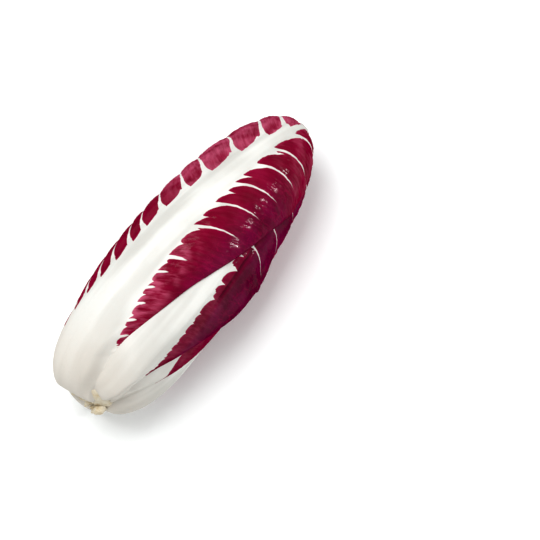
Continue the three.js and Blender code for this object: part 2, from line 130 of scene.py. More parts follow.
@dataclass(frozen=True)
class Envelope:
    """The barrel that all the leaves are laid on, laid out on a unit sphere and stretched."""

    base_half: float = 93.5
    tip_half: float = 117.5
    girth_radius: float = 39.2
    base_squareness: float = 0.54  # 1 is an ellipse, and less is fuller
    tip_squareness: float = 0.92
    rest_behind: float = 6.5  # from the origin to where the two halves meet
    axis_height: float = 40.46

    def radius(self, n: np.ndarray, depth: np.ndarray | float = 0.0) -> np.ndarray:
        """Give the distance from the head's axis, in each direction and at a depth below the surface."""
        squareness = np.where(n[..., 0] < 0, self.base_squareness, self.tip_squareness)
        return (self.girth_radius - depth) * off_axis(n) ** squareness

    def point(self, n: np.ndarray, depth: np.ndarray | float) -> np.ndarray:
        """Give places on the envelope.

        Args:
            n: Directions on the unit sphere.
            depth: How far below the surface.

        Returns:
            Points in millimetres.
        """
        half = np.where(n[..., 0] < 0, self.base_half, self.tip_half)
        scale = self.radius(n, depth) / off_axis(n)
        x = self.rest_behind + (half - depth) * n[..., 0]
        return np.stack([x, scale * n[..., 1], self.axis_height + scale * n[..., 2]], axis=-1)


# ---- leaves


class Side(enum.Enum):
    """The two halves of a blade."""

    MINUS = -1
    PLUS = 1


@dataclass(frozen=True)
class SideVeins:
    """How the veins leave one side of a rib. Places are measured along the leaf from its foot."""

    roots: tuple[float, ...]  # where each main vein leaves the rib
    lobes: tuple[float, ...]  # where each lobe of the red starts
    lean: Line = ((40, 0.22), (95, 0.38), (125, 0.58), (150, 0.76), (190, 1.0))
    spike: Line = ((30, 2.0), (90, 3.0), (140, 4.6), (190, 5.0), (215, 3.0))
    run: Line = ((80, 5.0), (95, 13.0), (116, 30.0), (220, 30.0))  # length of the main veins
    inset: Line = ((30, 0.0), (220, 0.0))  # how far the red runs in over the rib's border
    lobe_tip: float = 0.32  # where in its cell a lobe reaches the rib
    retreat: float = 3.0  # how much further the white runs out just below a main vein
    retreat_over: Span = (60.0, 120.0)
    bow: float = 2.2  # how far a vein sweeps forward where it leaves the rib
    bow_over: float = 5.0
    bend: float = 0.5  # over how much the veins turn from straight across to their lean
    first_red: float = 32.0  # where along the leaf its red starts
    red_over: float = 4.0  # length over which it does
    weight: float = 1.0  # how thick the main veins are
    scallop: float = 2.6  # 1 gives lobes straight sides, more rounds their tips
    pucker: float = 1.0  # how much the blade puffs up between the veins
    pucker_over: Span = (4.0, 26.0)  # lengths of vein over which it comes up
    tooth: float = 0.0  # how ragged the border is where fine veins reach it, in millimetres
    minor: float = 0.0  # how thick the small veins halfway between the main ones are

    ROUNDS = 10  # enough for a root to settle
    FIRST_COUNT = 20.0  # keeps every count above nought
    ALL_WHITE = 60.0  # further than any rib's white reaches

    def root_of(self, along: np.ndarray, beyond: np.ndarray) -> np.ndarray:
        """Follow the veins back to the rib.

        Args:
            along: How far along the leaf.
            beyond: How far out from the rib's border.

        Returns:
            Where a vein through each place leaves the rib.
        """
        out = soft_max(beyond, np.zeros_like(beyond), self.bend)
        root = along.copy()
        for _ in range(self.ROUNDS):
            swept = out * read_line(self.lean, root) + self.bow * (1.0 - np.exp(-out / self.bow_over))
            root = 0.5 * root + 0.5 * (along - swept)
        return root

    @staticmethod
    def phase(listed: Sequence[float], root: np.ndarray, offset: float) -> np.ndarray:
        """Count along a list of places, and on past its two ends.

        Args:
            listed: Places along the rib.
            root: Where to read the count.
            offset: What the count is at the first place.

        Returns:
            A number that grows by one from each place to the next.
        """
        places = np.asarray(listed, float)
        counts = np.arange(len(places)) + offset
        inside = np.interp(root, places, counts)
        before = (root - places[0]) / (places[1] - places[0]) + offset
        after = (root - places[-1]) / (places[-1] - places[-2]) + counts[-1]
        return np.where(root < places[0], before, np.where(root > places[-1], after, inside))

    def spacing(self, root: np.ndarray) -> np.ndarray:
        """Give the distance between the main veins.

        Args:
            root: Places along the rib.

        Returns:
            The distance at each of them.
        """
        places = np.asarray(self.roots, float)
        middles = (places[1:] + places[:-1]) / 2.0
        return np.interp(root, middles, np.diff(places))

    def numbers(self, along: np.ndarray, beyond: np.ndarray, slimmer: np.ndarray) -> dict[str, np.ndarray]:
        """Work out what the relief and the finish read about this side's veins.

        Args:
            along: How far along the leaf.
            beyond: How far out from the rib's border.
            slimmer: What the veins and the lobes come down to near the leaf's tip.

        Returns:
            The numbers by name.
        """
        root = self.root_of(along, beyond)
        run = read_line(self.run, root)
        red = smoothstep(root, self.first_red - self.red_over, self.first_red)
        return {
            "root": root,
            "vein_phase": self.phase(self.roots, root, self.FIRST_COUNT),
            "lobe_phase": self.phase(self.lobes, root, self.FIRST_COUNT + self.lobe_tip),
            "spacing": self.spacing(root),
            "spike": read_line(self.spike, root) * slimmer,
            "lobe_tip": np.full(root.shape, self.lobe_tip),
            "retreat": self.retreat * smoothstep(root, *self.retreat_over),
            "all_white": self.ALL_WHITE * (1.0 - red),
            "vein_run": run,
            "vein_weight": self.weight * slimmer,
            "vein_minor": np.full(root.shape, self.minor),
            "tooth": self.tooth * slimmer,
            "scallop": np.full(root.shape, self.scallop),
            "inset": read_line(self.inset, root),
            "pucker": self.pucker * smoothstep(run, *self.pucker_over),
        }


@dataclass(frozen=True)
class VeinRule:
    """Spaces the veins of a side that has none listed: closer at the foot, and a little uneven."""

    first: float = 34.0  # where the first vein leaves the rib
    first_off: Span = (-2.0, 2.0)
    last: float = 225.0  # where they end
    near: float = 8.0  # the spacing at the foot
    far: float = 18.0  # the spacing near the tip
    uneven: Span = (0.8, 1.2)
    lobe_after: float = 1.5  # from a vein to the lobe next to it
    second_lobe: Span = (0.42, 0.7)  # where between two veins the other lobe is
    weight: Span = (0.9, 1.1)
    tooth: float = 1.0
    minor: float = 0.8

    def side(self, seed: int) -> SideVeins:
        """Space one side's veins.

        Args:
            seed: Sets how the spaces and the lobes vary.

        Returns:
            The side's veins, with two lobes between each and the next.
        """
        rng = np.random.default_rng(seed)
        roots = [self.first + rng.uniform(*self.first_off)]
        while roots[-1] < self.last:
            share = min(roots[-1] / self.last, 1.0)
            roots.append(roots[-1] + (self.near + (self.far - self.near) * share) * rng.uniform(*self.uneven))
        lobes = []
        for a, b in zip(roots, roots[1:]):
            lobes += [a + self.lobe_after, a + (b - a) * rng.uniform(*self.second_lobe)]
        weight = rng.uniform(*self.weight)
        return SideVeins(tuple(roots), tuple(lobes), tooth=self.tooth, minor=self.minor, weight=weight)


@dataclass(frozen=True)
class LeafShape:
    """One leaf's outline. Angles are in degrees: at is round the head from +Y, start and end are along it."""

    name: str
    at: float
    start: float
    end: float
    rib_half: tuple[float, ...]  # half the rib's width, at even steps along the leaf
    minus: tuple[float, ...]  # how far the blade reaches on one side
    plus: tuple[float, ...] = ()  # and on the other, if that isn't the same
    rib: tuple[float, ...] = (0, 0)  # where across the leaf the rib runs
    floor_depth: float = 0.0  # how far below the envelope it lies at least
    rib_share: float = 1.0  # of the thickness that every rib has
    veins: dict[Side, SideVeins] = field(default_factory=dict)
    purple: float = 0.2  # 0 is crimson and 1 purple
    purple_out: float = 0.0  # how much more purple it is far out on its plus side
    purple_from: float = 30.0  # how far out that is
    crease: Span = (0.0, 0.0)  # from where to where along the leaf its plus side is creased: grooved, and darkened with painted shade
    crease_out: float = 7.0  # how far out from the rib the crease runs
    lift: float = 0.0  # how far its plus margin stands off the head halfway along
    shade: float = 0.0  # painted shade: 0 leaves its reds as they are and 1 takes them to their deepest
    foot_past: float = 0.0  # share of the length that the foot runs on past the start, over the stem
    bloom: float = 0.35  # how much waxy bloom its blade has, with painted sheen of the light on it
    rows: int = 200
    columns: int = 100


@dataclass(frozen=True)
class LeafBuild:
    """What every leaf shares. A share is one of the leaf's length, from its foot."""

    blade: float = 0.55
    rib_thickness: tuple[float, ...] = (6.5, 7.5, 7.0, 5.6, 4.2, 3.2, 2.3, 1.5, 0.9)
    rib_proud: float = 0.42  # share of a rib's thickness that stands out of the head
    rib_arch: float = 2.2  # power of the curve over it
    rib_side: float = 0.9  # thickness that a rib adds at its sides
    rib_side_over: Span = (0.8, 1.5)  # where it does, in half widths of the rib
    rib_room_over: Span = (1.0, 1.6)  # where the leaves over it leave room for that
    rib_ends: Span = (0.86, 0.97)  # shares between which a rib narrows away
    wrap: float = 1.35  # from the head's middle to where a leaf's cross lines spread from, in radii
    cap_from: float = 0.72  # share at which the blade starts to round to its tip
    cap_power: float = 2.4
    least_blade: float = 1.5  # what is left of it beside the rib, in degrees
    edge_wave: float = 0.03  # how much its edges wave, as a share of their reach
    edge_turn: float = 19.0  # how fast they wave, in radians along the leaf
    edge_wave_over: Span = (0.25, 0.5)  # shares between which that starts
    nest_gap: float = 0.35
    stalk_gap: float = 0.08  # between stalks near the stem, where they are packed hardest
    stalk_gap_over: Span = (0.15, 0.4)  # shares between which the gap opens
    fall: Span = (0.08, 0.01)  # slope and curve with which a leaf comes up beside the one over it
    softness: float = 1.2  # depth over which the corner between two layers is rounded
    stalk_over: Span = (30.0, 75.0)  # along the leaf, where its stalk passes into its blade
    margin: float = 0.2  # thickness of the blade at its very edge
    margin_width: float = 1.6
    stalk_margin: float = 0.06
    stalk_margin_width: float = 9.0  # over which a stalk's thick edge thins out
    feather: Span = (-0.1, 1.0)  # shares of that width between which it does
    covered_over: Span = (0.0, 4.0)  # from the leaves over it, where a stalk starts to need that
    tuck: float = 0.8  # how far a stalk's edge presses down into the stalk under it
    tuck_over: Span = (0.0, 0.8)
    lift_comes: Span = (55.0, 112.0)  # along the leaf, where a loose margin rises
    lift_goes: Span = (125.0, 175.0)  # and where it comes down
    lift_in: Span = (1.0, 17.0)  # in from that margin, where the lift ends
    lift_clear: Span = (2.0, 9.0)  # and from the leaves over it, where it starts
    blunt: float = 0.994  # share at which a leaf's tip ends
    foot: float = 2.6  # how far the rounded foot of a stalk runs along it
    foot_end: float = 0.45  # share of its thickness that is left at its end


@dataclass
class Place:
    """Where directions on the sphere fall in one leaf's own net."""

    share: np.ndarray
    across: np.ndarray
    radius: np.ndarray
    scale: np.ndarray


@dataclass
class Leaf:
    """One leaf's own net on the unit sphere: share runs along its spine, and across round the head."""

    shape: LeafShape
    build: LeafBuild
    envelope: Envelope
    out: np.ndarray = field(init=False)
    side: np.ndarray = field(init=False)
    spine_shares: np.ndarray = field(init=False)
    spine_lengths: np.ndarray = field(init=False)

    SPINE_POINTS = 400

    def __post_init__(self) -> None:
        """Work out the leaf's directions and the length of its spine."""
        angle = math.radians(self.shape.at)
        self.out = np.array([0.0, math.cos(angle), math.sin(angle)])
        self.side = np.array([0.0, -math.sin(angle), math.cos(angle)])
        self.spine_shares = np.linspace(0.0, 1.0, self.SPINE_POINTS)
        on_rib = self.to_sphere(self.spine_shares, self.rib_middle(self.spine_shares))
        spine = self.envelope.point(on_rib, 0.0)
        steps = np.linalg.norm(np.diff(spine, axis=0), axis=1)
        self.spine_lengths = np.concatenate([[0.0], np.cumsum(steps)])

    def _cross_line(self, x: np.ndarray, out: np.ndarray) -> tuple[np.ndarray, ...]:
        """Find the circle that a cross line of the leaf lies on.

        Args:
            x: Where it meets the leaf's middle plane, along the head.
            out: And out from the head's axis.

        Returns:
            The two parts of the direction from where the lines spread, how far off the place is, and how far
            off the circle's middle is and its radius.
        """
        ray_x, ray_out = x, out + self.build.wrap
        distance = np.hypot(ray_x, ray_out)
        ray_x, ray_out = ray_x / distance, ray_out / distance
        middle = self.build.wrap * ray_out
        radius = np.sqrt(np.maximum(middle * middle - self.build.wrap**2 + 1.0, TINIER))
        return ray_x, ray_out, distance, middle, radius

    def to_sphere(self, share: np.ndarray, across: np.ndarray) -> np.ndarray:
        """Turn places on the leaf into directions.

        Args:
            share: Share of the leaf's length.
            across: Angle across it, in radians.

        Returns:
            Directions on the unit sphere.
        """
        along = np.radians(self.shape.start + share * (self.shape.end - self.shape.start))
        ray_x, ray_out, _, middle, radius = self._cross_line(-np.cos(along), np.sin(along))
        reach = middle + radius * np.cos(across)
        return (
            (ray_x * reach)[..., None] * np.array([1.0, 0.0, 0.0])
            + (ray_out * reach - self.build.wrap)[..., None] * self.out
            + (radius * np.sin(across))[..., None] * self.side
        )

    def from_sphere(self, n: np.ndarray) -> Place:
        """Turn directions into places on the leaf.

        Args:
            n: Directions on the unit sphere.

        Returns:
            The places.
        """
        ray_x, ray_out, distance, middle, radius = self._cross_line(n[..., 0], n @ self.out)
        far = middle + radius
        along = np.arctan2(ray_out * far - self.build.wrap, -ray_x * far)
        along = np.where(along < -math.pi / 2, along + FULL_TURN, along)
        across = np.arctan2(n @ self.side, distance - middle)
        start, end = math.radians(self.shape.start), math.radians(self.shape.end)
        return Place((along - start) / (end - start), across, radius, self.envelope.radius(n) / off_axis(n))

    def rib_middle(self, share: np.ndarray) -> np.ndarray:
        """Give the angle across the leaf at which its rib runs."""
        return np.radians(curve_through(self.shape.rib, share))

    def rib_half(self, share: np.ndarray) -> np.ndarray:
        """Give half the rib's width, in radians."""
        return np.radians(curve_through(self.shape.rib_half, share))

    def edges(self, share: np.ndarray) -> tuple[np.ndarray, np.ndarray]:
        """Find the blade's two edges.

        Args:
            share: Share of the leaf's length.

        Returns:
            The angles across the leaf at which they run.
        """
        build = self.build
        turn = np.sin(share * build.edge_turn + self.shape.at)
        wave = 1.0 + build.edge_wave * turn * smoothstep(share, *build.edge_wave_over)
        to_tip = np.clip((share - build.cap_from) / (1.0 - build.cap_from), 0.0, 1.0)
        cap = np.sqrt(np.maximum(1.0 - to_tip**build.cap_power, 0.0)) * wave
        half = self.rib_half(share) + math.radians(build.least_blade)
        middle = self.rib_middle(share)
        reach = self.shape.plus or self.shape.minus
        minus = np.minimum(-np.radians(curve_through(self.shape.minus, share)) * cap, middle - half)
        plus = np.maximum(np.radians(curve_through(reach, share)) * cap, middle + half)
        return minus, plus

    def thickness(self, share: np.ndarray) -> np.ndarray:
        """Give the rib's thickness along the leaf."""
        return curve_through(self.build.rib_thickness, share) * self.shape.rib_share

    def off_rib(self, place: Place) -> np.ndarray:
        """Give the distance from the middle of the rib, as a share of its half width."""
        return np.abs(place.across - self.rib_middle(place.share)) / self.rib_half(place.share)

    def rib_rise(self, place: Place) -> np.ndarray:
        """Give how far the rib stands out of the head."""
        arch = 1.0 - np.minimum(self.off_rib(place), 1.0) ** self.build.rib_arch
        return self.thickness(place.share) * self.build.rib_proud * arch

    def rib_room(self, place: Place) -> np.ndarray:
        """Give the room that is kept for the rib's sides."""
        return self.build.rib_side * (1.0 - smoothstep(self.off_rib(place), *self.build.rib_room_over))

    def rib_dip(self, place: Place) -> np.ndarray:
        """Give how far the leaf's inner face dips under the rib."""
        ease = (1.0 + np.cos(math.pi / 2 * np.minimum(self.off_rib(place), 2.0))) / 2.0
        return self.thickness(place.share) * (1.0 - self.build.rib_proud) * ease

    def outside(self, place: Place) -> np.ndarray:
        """Measure from places to the leaf's outline.

        Args:
            place: The places.

        Returns:
            Their distances in millimetres, 0 on the leaf.
        """
        minus, plus = self.edges(place.share)
        beside = np.maximum(np.maximum(minus - place.across, place.across - plus), 0.0) * place.radius
        span = math.radians(self.shape.end - self.shape.start)
        beyond = np.maximum(np.maximum(place.share - 1.0, -self.shape.foot_past - place.share), 0.0) * span
        return np.hypot(beside, beyond) * place.scale

    def spine_at(self, share: np.ndarray) -> np.ndarray:
        """Measure along the spine.

        Args:
            share: Share of the leaf's length, which may lie past its two ends.

        Returns:
            The distance from the leaf's start, in millimetres.
        """
        steps = len(self.spine_shares)
        past = (share - 1.0) * (self.spine_lengths[-1] - self.spine_lengths[-2]) * steps
        before = share * self.spine_lengths[1] * steps
        inside = np.interp(share, self.spine_shares, self.spine_lengths)
        return inside + np.maximum(past, 0.0) + np.minimum(before, 0.0)

    def across_at(self, place: Place) -> np.ndarray:
        """Give the distance across from the middle of the rib, in millimetres."""
        return (place.across - self.rib_middle(place.share)) * place.radius * place.scale

    def beyond_rib(self, place: Place) -> np.ndarray:
        """Give the distance out from the rib's border, in millimetres."""
        half = self.rib_half(place.share) * (1.0 - smoothstep(place.share, *self.build.rib_ends))
        return np.abs(self.across_at(place)) - half * place.radius * place.scale


@dataclass
class Nest:
    """The leaves from the outermost in, each lying under those before it."""

    leaves: list[Leaf]
    build: LeafBuild

    ALL_CLEAR = 99.0  # the distance that a leaf with none over it is given

    def layers(self, index: int, n: np.ndarray) -> tuple[np.ndarray, np.ndarray]:
        """Find how deep one leaf lies.

        Args:
            index: Which leaf.
            n: Directions on the unit sphere.

        Returns:
            The depth of the leaf's skin before its rib is added, and its distance from the leaves over it.
        """
        build = self.build
        slope, curve = build.fall
        found: list[np.ndarray] = []
        outsides: list[np.ndarray] = []
        clear = np.full(n.shape[:-1], self.ALL_CLEAR)
        base = np.zeros(n.shape[:-1])
        for k, leaf in enumerate(self.leaves[: index + 1]):
            place = leaf.from_sphere(n)
            base = np.full(n.shape[:-1], leaf.shape.floor_depth)
            lift = leaf.rib_rise(place) + leaf.rib_room(place)
            for under, outside in zip(found, outsides):
                rise = slope * outside + curve * outside * outside
                base = soft_max(base, under - rise + lift, build.softness)
            if k < index:
                opening = smoothstep(place.share, *build.stalk_gap_over)
                gap = build.stalk_gap + (build.nest_gap - build.stalk_gap) * opening
                found.append(base + leaf.rib_dip(place) + build.blade + gap)
                outsides.append(leaf.outside(place))
                clear = np.minimum(clear, outsides[-1])
        return base, clear


# ---- meshes


def mesh_from(name: str, points: np.ndarray, faces: Iterable[np.ndarray]) -> bpy.types.Mesh:
    """Make a mesh with smooth faces that point outwards.

    Args:
        name: The mesh's name.
        points: Its points, in millimetres.
        faces: Arrays of faces, each with three or four corners a row, all turned the same way.

    Returns:
        The mesh, in metres.
    """
    faces = [np.asarray(part, np.int32) for part in faces]
    volume = 0.0
    for part in faces:
        a, b, c = points[part[:, 0]], points[part[:, 1]], points[part[:, 2]]
        volume += np.einsum("ij,ij->", a, np.cross(b, c))
        if part.shape[1] == 4:
            volume += np.einsum("ij,ij->", a, np.cross(c, points[part[:, 3]]))
    if volume < 0:
        faces = [part[:, ::-1] for part in faces]
    loops = np.concatenate([part.ravel() for part in faces])
    sizes = np.concatenate([np.full(len(part), part.shape[1], np.int32) for part in faces])
    mesh = bpy.data.meshes.new(name)
    mesh.vertices.add(len(points))
    mesh.vertices.foreach_set("co", (points * MM).astype(np.float32).ravel())
    mesh.loops.add(len(loops))
    mesh.loops.foreach_set("vertex_index", loops.astype(np.int32))
    mesh.polygons.add(len(sizes))
    mesh.polygons.foreach_set("loop_start", np.concatenate([[0], np.cumsum(sizes)[:-1]]).astype(np.int32))
    mesh.polygons.foreach_set("use_smooth", np.ones(len(sizes), bool))
    mesh.update(calc_edges=True)
    mesh.validate()
    return mesh


def store(mesh: bpy.types.Mesh, name: str, values: np.ndarray) -> None:
    """Keep one number at each point of a mesh."""
    layer = mesh.attributes.new(name, "FLOAT", "POINT")
    layer.data.foreach_set("value", np.ascontiguousarray(values, dtype=np.float32).ravel())


def place_object(name: str, data: bpy.types.ID) -> bpy.types.Object:
    """Put a mesh, a light or a camera in the scene at the origin.

    Args:
        name: The object's name.
        data: What it holds.

    Returns:
        The object.
    """
    piece = bpy.data.objects.new(name, data)
    bpy.context.scene.collection.objects.link(piece)
    return piece


def settle(piece: bpy.types.Object) -> None:
    """Turn a piece's modifiers into its own plain mesh.

    Args:
        piece: The piece.
    """
    depsgraph = bpy.context.evaluated_depsgraph_get()
    made = bpy.data.meshes.new_from_object(
        piece.evaluated_get(depsgraph), preserve_all_data_layers=True, depsgraph=depsgraph
    )
    before = piece.data
    piece.modifiers.clear()
    piece.data = made
    made.name = before.name
    bpy.data.meshes.remove(before)


def triangle_count(mesh: bpy.types.Mesh) -> int:
    """Count a mesh's triangles."""
    return sum(polygon.loop_total - 2 for polygon in mesh.polygons)


def net_quads(net: np.ndarray) -> np.ndarray:
    """List the quads of a net of points."""
    corners = [net[:-1, :-1], net[:-1, 1:], net[1:, 1:], net[1:, :-1]]
    return np.stack([corner.ravel() for corner in corners], axis=1)


def net_border(net: np.ndarray) -> np.ndarray:
    """Walk round the border of a net of points."""
    return np.concatenate([net[0, :-1], net[:-1, -1], net[-1, :0:-1], net[:0:-1, 0], net[:1, 0]])


def sheet_faces(rows: int, columns: int, coarse: int) -> list[np.ndarray]:
    """List the faces of a closed sheet whose inner face has a coarser net.

    Args:
        rows: Points along the outer face.
        columns: Points across it.
        coarse: Steps of the outer net to one of the inner net.

    Returns:
        The faces of both nets and of the strip that joins their borders.
    """
    outer = np.arange(rows * columns).reshape(rows, columns)
    inner_rows, inner_columns = (rows - 1) // coarse + 1, (columns - 1) // coarse + 1
    inner = np.arange(inner_rows * inner_columns).reshape(inner_rows, inner_columns) + rows * columns
    fine, rough = net_border(outer), net_border(inner)
    strip = []
    half = coarse // 2
    for k in range(len(rough) - 1):
        a, b = rough[k], rough[k + 1]
        run = fine[k * coarse : (k + 1) * coarse + 1]
        strip += [(run[i + 1], run[i], a) for i in range(half)]
        strip.append((a, b, run[half]))
        strip += [(run[i + 1], run[i], b) for i in range(half, coarse)]
    return [net_quads(outer), net_quads(inner)[:, ::-1], np.array(strip)]


def ring_faces(rings: int, around: int) -> list[np.ndarray]:
    """List the faces of rings of points joined into a tube that two more points close.

    Args:
        rings: How many rings there are.
        around: Points round each.

    Returns:
        The faces of the tube and of its two ends.
    """
    count = rings * around
    net = np.arange(count).reshape(rings, around)
    wrapped = np.concatenate([net, net[:, :1]], axis=1)
    base = np.stack([wrapped[0, 1:], wrapped[0, :-1], np.full(around, count)], axis=1)
    tip = np.stack([wrapped[-1, :-1], wrapped[-1, 1:], np.full(around, count + 1)], axis=1)
    return [net_quads(wrapped), base, tip]


def sphere_net(around: int, along: int) -> tuple[np.ndarray, list[np.ndarray]]:
    """Lay out a sphere with its poles on the X axis.

    Args:
        around: Points round it.
        along: Steps from pole to pole.

    Returns:
        Its points and its faces.
    """
    polar = np.linspace(0.0, math.pi, along + 1)[1:-1]
    turn = np.linspace(0.0, FULL_TURN, around, endpoint=False)
    p, t = np.meshgrid(polar, turn, indexing="ij")
    ring = np.stack([-np.cos(p), np.sin(p) * np.cos(t), np.sin(p) * np.sin(t)], axis=-1).reshape(-1, 3)
    return np.concatenate([ring, [[-1.0, 0.0, 0.0], [1.0, 0.0, 0.0]]]), ring_faces(along - 1, around)


# ---- node trees


class Wire:
    """Lays nodes in one tree and joins them, in a material and in a geometry tree alike."""

    def __init__(self, tree: bpy.types.NodeTree) -> None:
        """Take the tree to work in."""
        self.tree = tree
        self.reads: dict[str, "Value"] = {}

    def add(self, kind: str, **settings: object) -> bpy.types.Node:
        """Add a node.

        Args:
            kind: What it is.
            settings: Its properties.

        Returns:
            The node.
        """
        node = self.tree.nodes.new(kind)
        for key, value in settings.items():
            setattr(node, key, value)
        return node

    def join(self, socket: bpy.types.NodeSocket, value: object) -> None:
        """Feed a socket.

        Args:
            socket: The socket.
            value: Another node's value or socket, or a plain number or colour.
        """
        if isinstance(value, Value):
            value = value.socket
        if isinstance(value, bpy.types.NodeSocket):
            self.tree.links.new(value, socket)
        else:
            socket.default_value = value

    def feed(self, node: bpy.types.Node, *values: object) -> "Value":
        """Feed a node's sockets in their order.

        Args:
            node: The node.
            values: What they are fed.

        Returns:
            Its first result.
        """
        for socket, value in zip(node.inputs, values):
            self.join(socket, value)
        return Value(self, node.outputs[0])

    def fill(self, node: bpy.types.Node, given: dict[str, object]) -> "Value":
        """Feed a node's sockets by name.

        Args:
            node: The node.
            given: What each is fed. A plain value is set on the socket itself.

        Returns:
            Its first result.
        """
        for name, value in given.items():
            self.join(node.inputs[name], value)
        return Value(self, node.outputs[0])

    def math(self, operation: str, *values: object) -> "Value":
        """Add one sum, by its name, on numbers or node values."""
        return self.feed(self.add("ShaderNodeMath", operation=operation), *values)

    def ease(self, value: object, start: object, end: object, *to: float) -> "Value":
        """Ease from 0 to 1, or between the two numbers given, while a value runs from start to end."""
        node = self.add("ShaderNodeMapRange", interpolation_type="SMOOTHSTEP")
        return self.feed(node, value, start, end, *to)

    def vector(self, x: object, y: object, z: object) -> "Value":
        """Bind three numbers into a vector."""
        return self.feed(self.add("ShaderNodeCombineXYZ"), x, y, z)

    def read(self, name: str) -> "Value":
        """Read a number that the mesh keeps at its points.

        Args:
            name: Its name.

        Returns:
            The number.
        """
        if name not in self.reads:
            if self.tree.bl_idname == "ShaderNodeTree":
                socket = self.add("ShaderNodeAttribute", attribute_name=name).outputs["Fac"]
            else:
                node = self.add("GeometryNodeInputNamedAttribute", data_type="FLOAT")
                node.inputs["Name"].default_value = name
                socket = node.outputs["Attribute"]
            self.reads[name] = Value(self, socket)
        return self.reads[name]

    def noise(self, vector: object, scale: float, detail: float = 2.0, roughness: float = 0.5) -> "Value":
        """Add soft noise.

        Args:
            vector: Where it is read.
            scale: How many swells there are in a unit.
            detail: How many finer layers it has.
            roughness: How strong the finer layers are.

        Returns:
            Noise from about 0 to 1.
        """
        given = {"Vector": vector, "Scale": scale, "Detail": detail, "Roughness": roughness}
        return self.fill(self.add("ShaderNodeTexNoise"), given)

    def blend(self, factor: object, a: object, b: object) -> "Value":
        """Mix two colours.

        Args:
            factor: The share of the second.
            a: The first.
            b: The second.

        Returns:
            The mixed colour.
        """
        node = self.add("ShaderNodeMix", data_type="RGBA")
        sockets = {socket.identifier: socket for socket in (*node.inputs, *node.outputs)}
        for name, value in {"Factor_Float": factor, "A_Color": a, "B_Color": b}.items():
            self.join(sockets[name], value)
        return Value(self, sockets["Result_Color"])

    def scaled(self, vector: object, by: object) -> "Value":
        """Make a vector longer or shorter."""
        return self.fill(self.add("ShaderNodeVectorMath", operation="SCALE"), {"Vector": vector, "Scale": by})

    def bump(self, height: object, strength: float, distance: float) -> "Value":
        """Add relief that only a finish shows.

        Args:
            height: The relief, from about 0 to 1.
            strength: How strong it is.
            distance: How high 1 is, in millimetres.

        Returns:
            The shader's normal.
        """
        given = {"Strength": strength, "Distance": distance * MM, "Height": height}
        return self.fill(self.add("ShaderNodeBump"), given)


class Value:
    """A number or colour carried by a node's socket, with the usual sums."""

    def __init__(self, wire: Wire, socket: bpy.types.NodeSocket) -> None:
        """Take the socket that carries it."""
        self.wire = wire
        self.socket = socket

    def __add__(self, other: object) -> "Value":
        """Add."""
        return self.wire.math("ADD", self, other)

    def __radd__(self, other: object) -> "Value":
        """Add to a plain number."""
        return self.wire.math("ADD", other, self)

    def __sub__(self, other: object) -> "Value":
        """Take away."""
        return self.wire.math("SUBTRACT", self, other)

    def __rsub__(self, other: object) -> "Value":
        """Take from a plain number."""
        return self.wire.math("SUBTRACT", other, self)

    def __mul__(self, other: object) -> "Value":
        """Multiply."""
        return self.wire.math("MULTIPLY", self, other)

    def __truediv__(self, other: object) -> "Value":
        """Divide."""
        return self.wire.math("DIVIDE", self, other)

    def __pow__(self, other: object) -> "Value":
        """Raise to a power."""
        return self.wire.math("POWER", self, other)

    def __neg__(self) -> "Value":
        """Turn the sign round."""
        return self.wire.math("MULTIPLY", self, -1.0)

    def __abs__(self) -> "Value":
        """Drop the sign."""
        return self.wire.math("ABSOLUTE", self)

    def fraction(self) -> "Value":
        """Give what is left over a whole number."""
        return self.wire.math("FRACT", self)

    def to_whole(self) -> "Value":
        """Give the distance to the nearest whole number."""
        return abs((self + 0.5).fraction() - 0.5)

    def to_half(self) -> "Value":
        """Give the distance to the nearest half between whole numbers."""
        return abs(self.fraction() - 0.5)

    def at_least(self, other: object) -> "Value":
        """Give the larger."""
        return self.wire.math("MAXIMUM", self, other)

    def at_most(self, other: object) -> "Value":
        """Give the smaller."""
        return self.wire.math("MINIMUM", self, other)

    def exp(self) -> "Value":
        """Raise e to it."""
        return self.wire.math("EXPONENT", self)


@dataclass(frozen=True)
class Pattern:
    """Soft noise laid over a leaf, stretched along it or along its veins."""

    seed: float  # keeps it apart from the other patterns
    scale: float = 1.0  # swells in a millimetre, before it is stretched
    detail: float = 2.0
    roughness: float = 0.5
    along: float = 1.0  # less draws it out further
    across: float = 1.0
    over: str = "along"  # the number it runs along: "along" the leaf, or the "root" that its veins come from

    def lay(self, wire: Wire) -> Value:
        """Lay the pattern.

        Args:
            wire: The tree to work in.

        Returns:
            Noise from about 0 to 1.
        """
        place = wire.read(self.over) * self.along, wire.read("across") * self.across
        vector = wire.vector(*place, wire.read("leaf_seed") + self.seed)
        return wire.noise(vector, self.scale, self.detail, self.roughness)


def start_tree(name: str, inputs: dict[str, str]) -> tuple[Wire, bpy.types.Node]:
    """Start a geometry tree that takes its geometry, its material and what else it needs.

    Args:
        name: Its name.
        inputs: The names and kinds of what else it takes.

    Returns:
        Its wire, and the node that gives the inputs.
    """
    tree = bpy.data.node_groups.new(name, "GeometryNodeTree")
    for label, kind in {"Geometry": "Geometry", **inputs, "Material": "Material"}.items():
        tree.interface.new_socket(label, in_out="INPUT", socket_type="NodeSocket" + kind)
    tree.interface.new_socket("Geometry", in_out="OUTPUT", socket_type="NodeSocketGeometry")
    wire = Wire(tree)
    return wire, wire.add("NodeGroupInput")


def end_tree(wire: Wire, given: bpy.types.Node, geometry: Value) -> bpy.types.NodeTree:
    """End a geometry tree: make its copies real and dress them.

    Args:
        wire: The tree's wire.
        given: The node that gives its inputs.
        geometry: What it has made.

    Returns:
        The tree.
    """
    real = wire.feed(wire.add("GeometryNodeRealizeInstances"), geometry)
    dress = wire.add("GeometryNodeSetMaterial")
    dressed = wire.fill(dress, {"Geometry": real, "Material": given.outputs["Material"]})
    wire.join(wire.add("NodeGroupOutput").inputs[0], dressed)
    return wire.tree


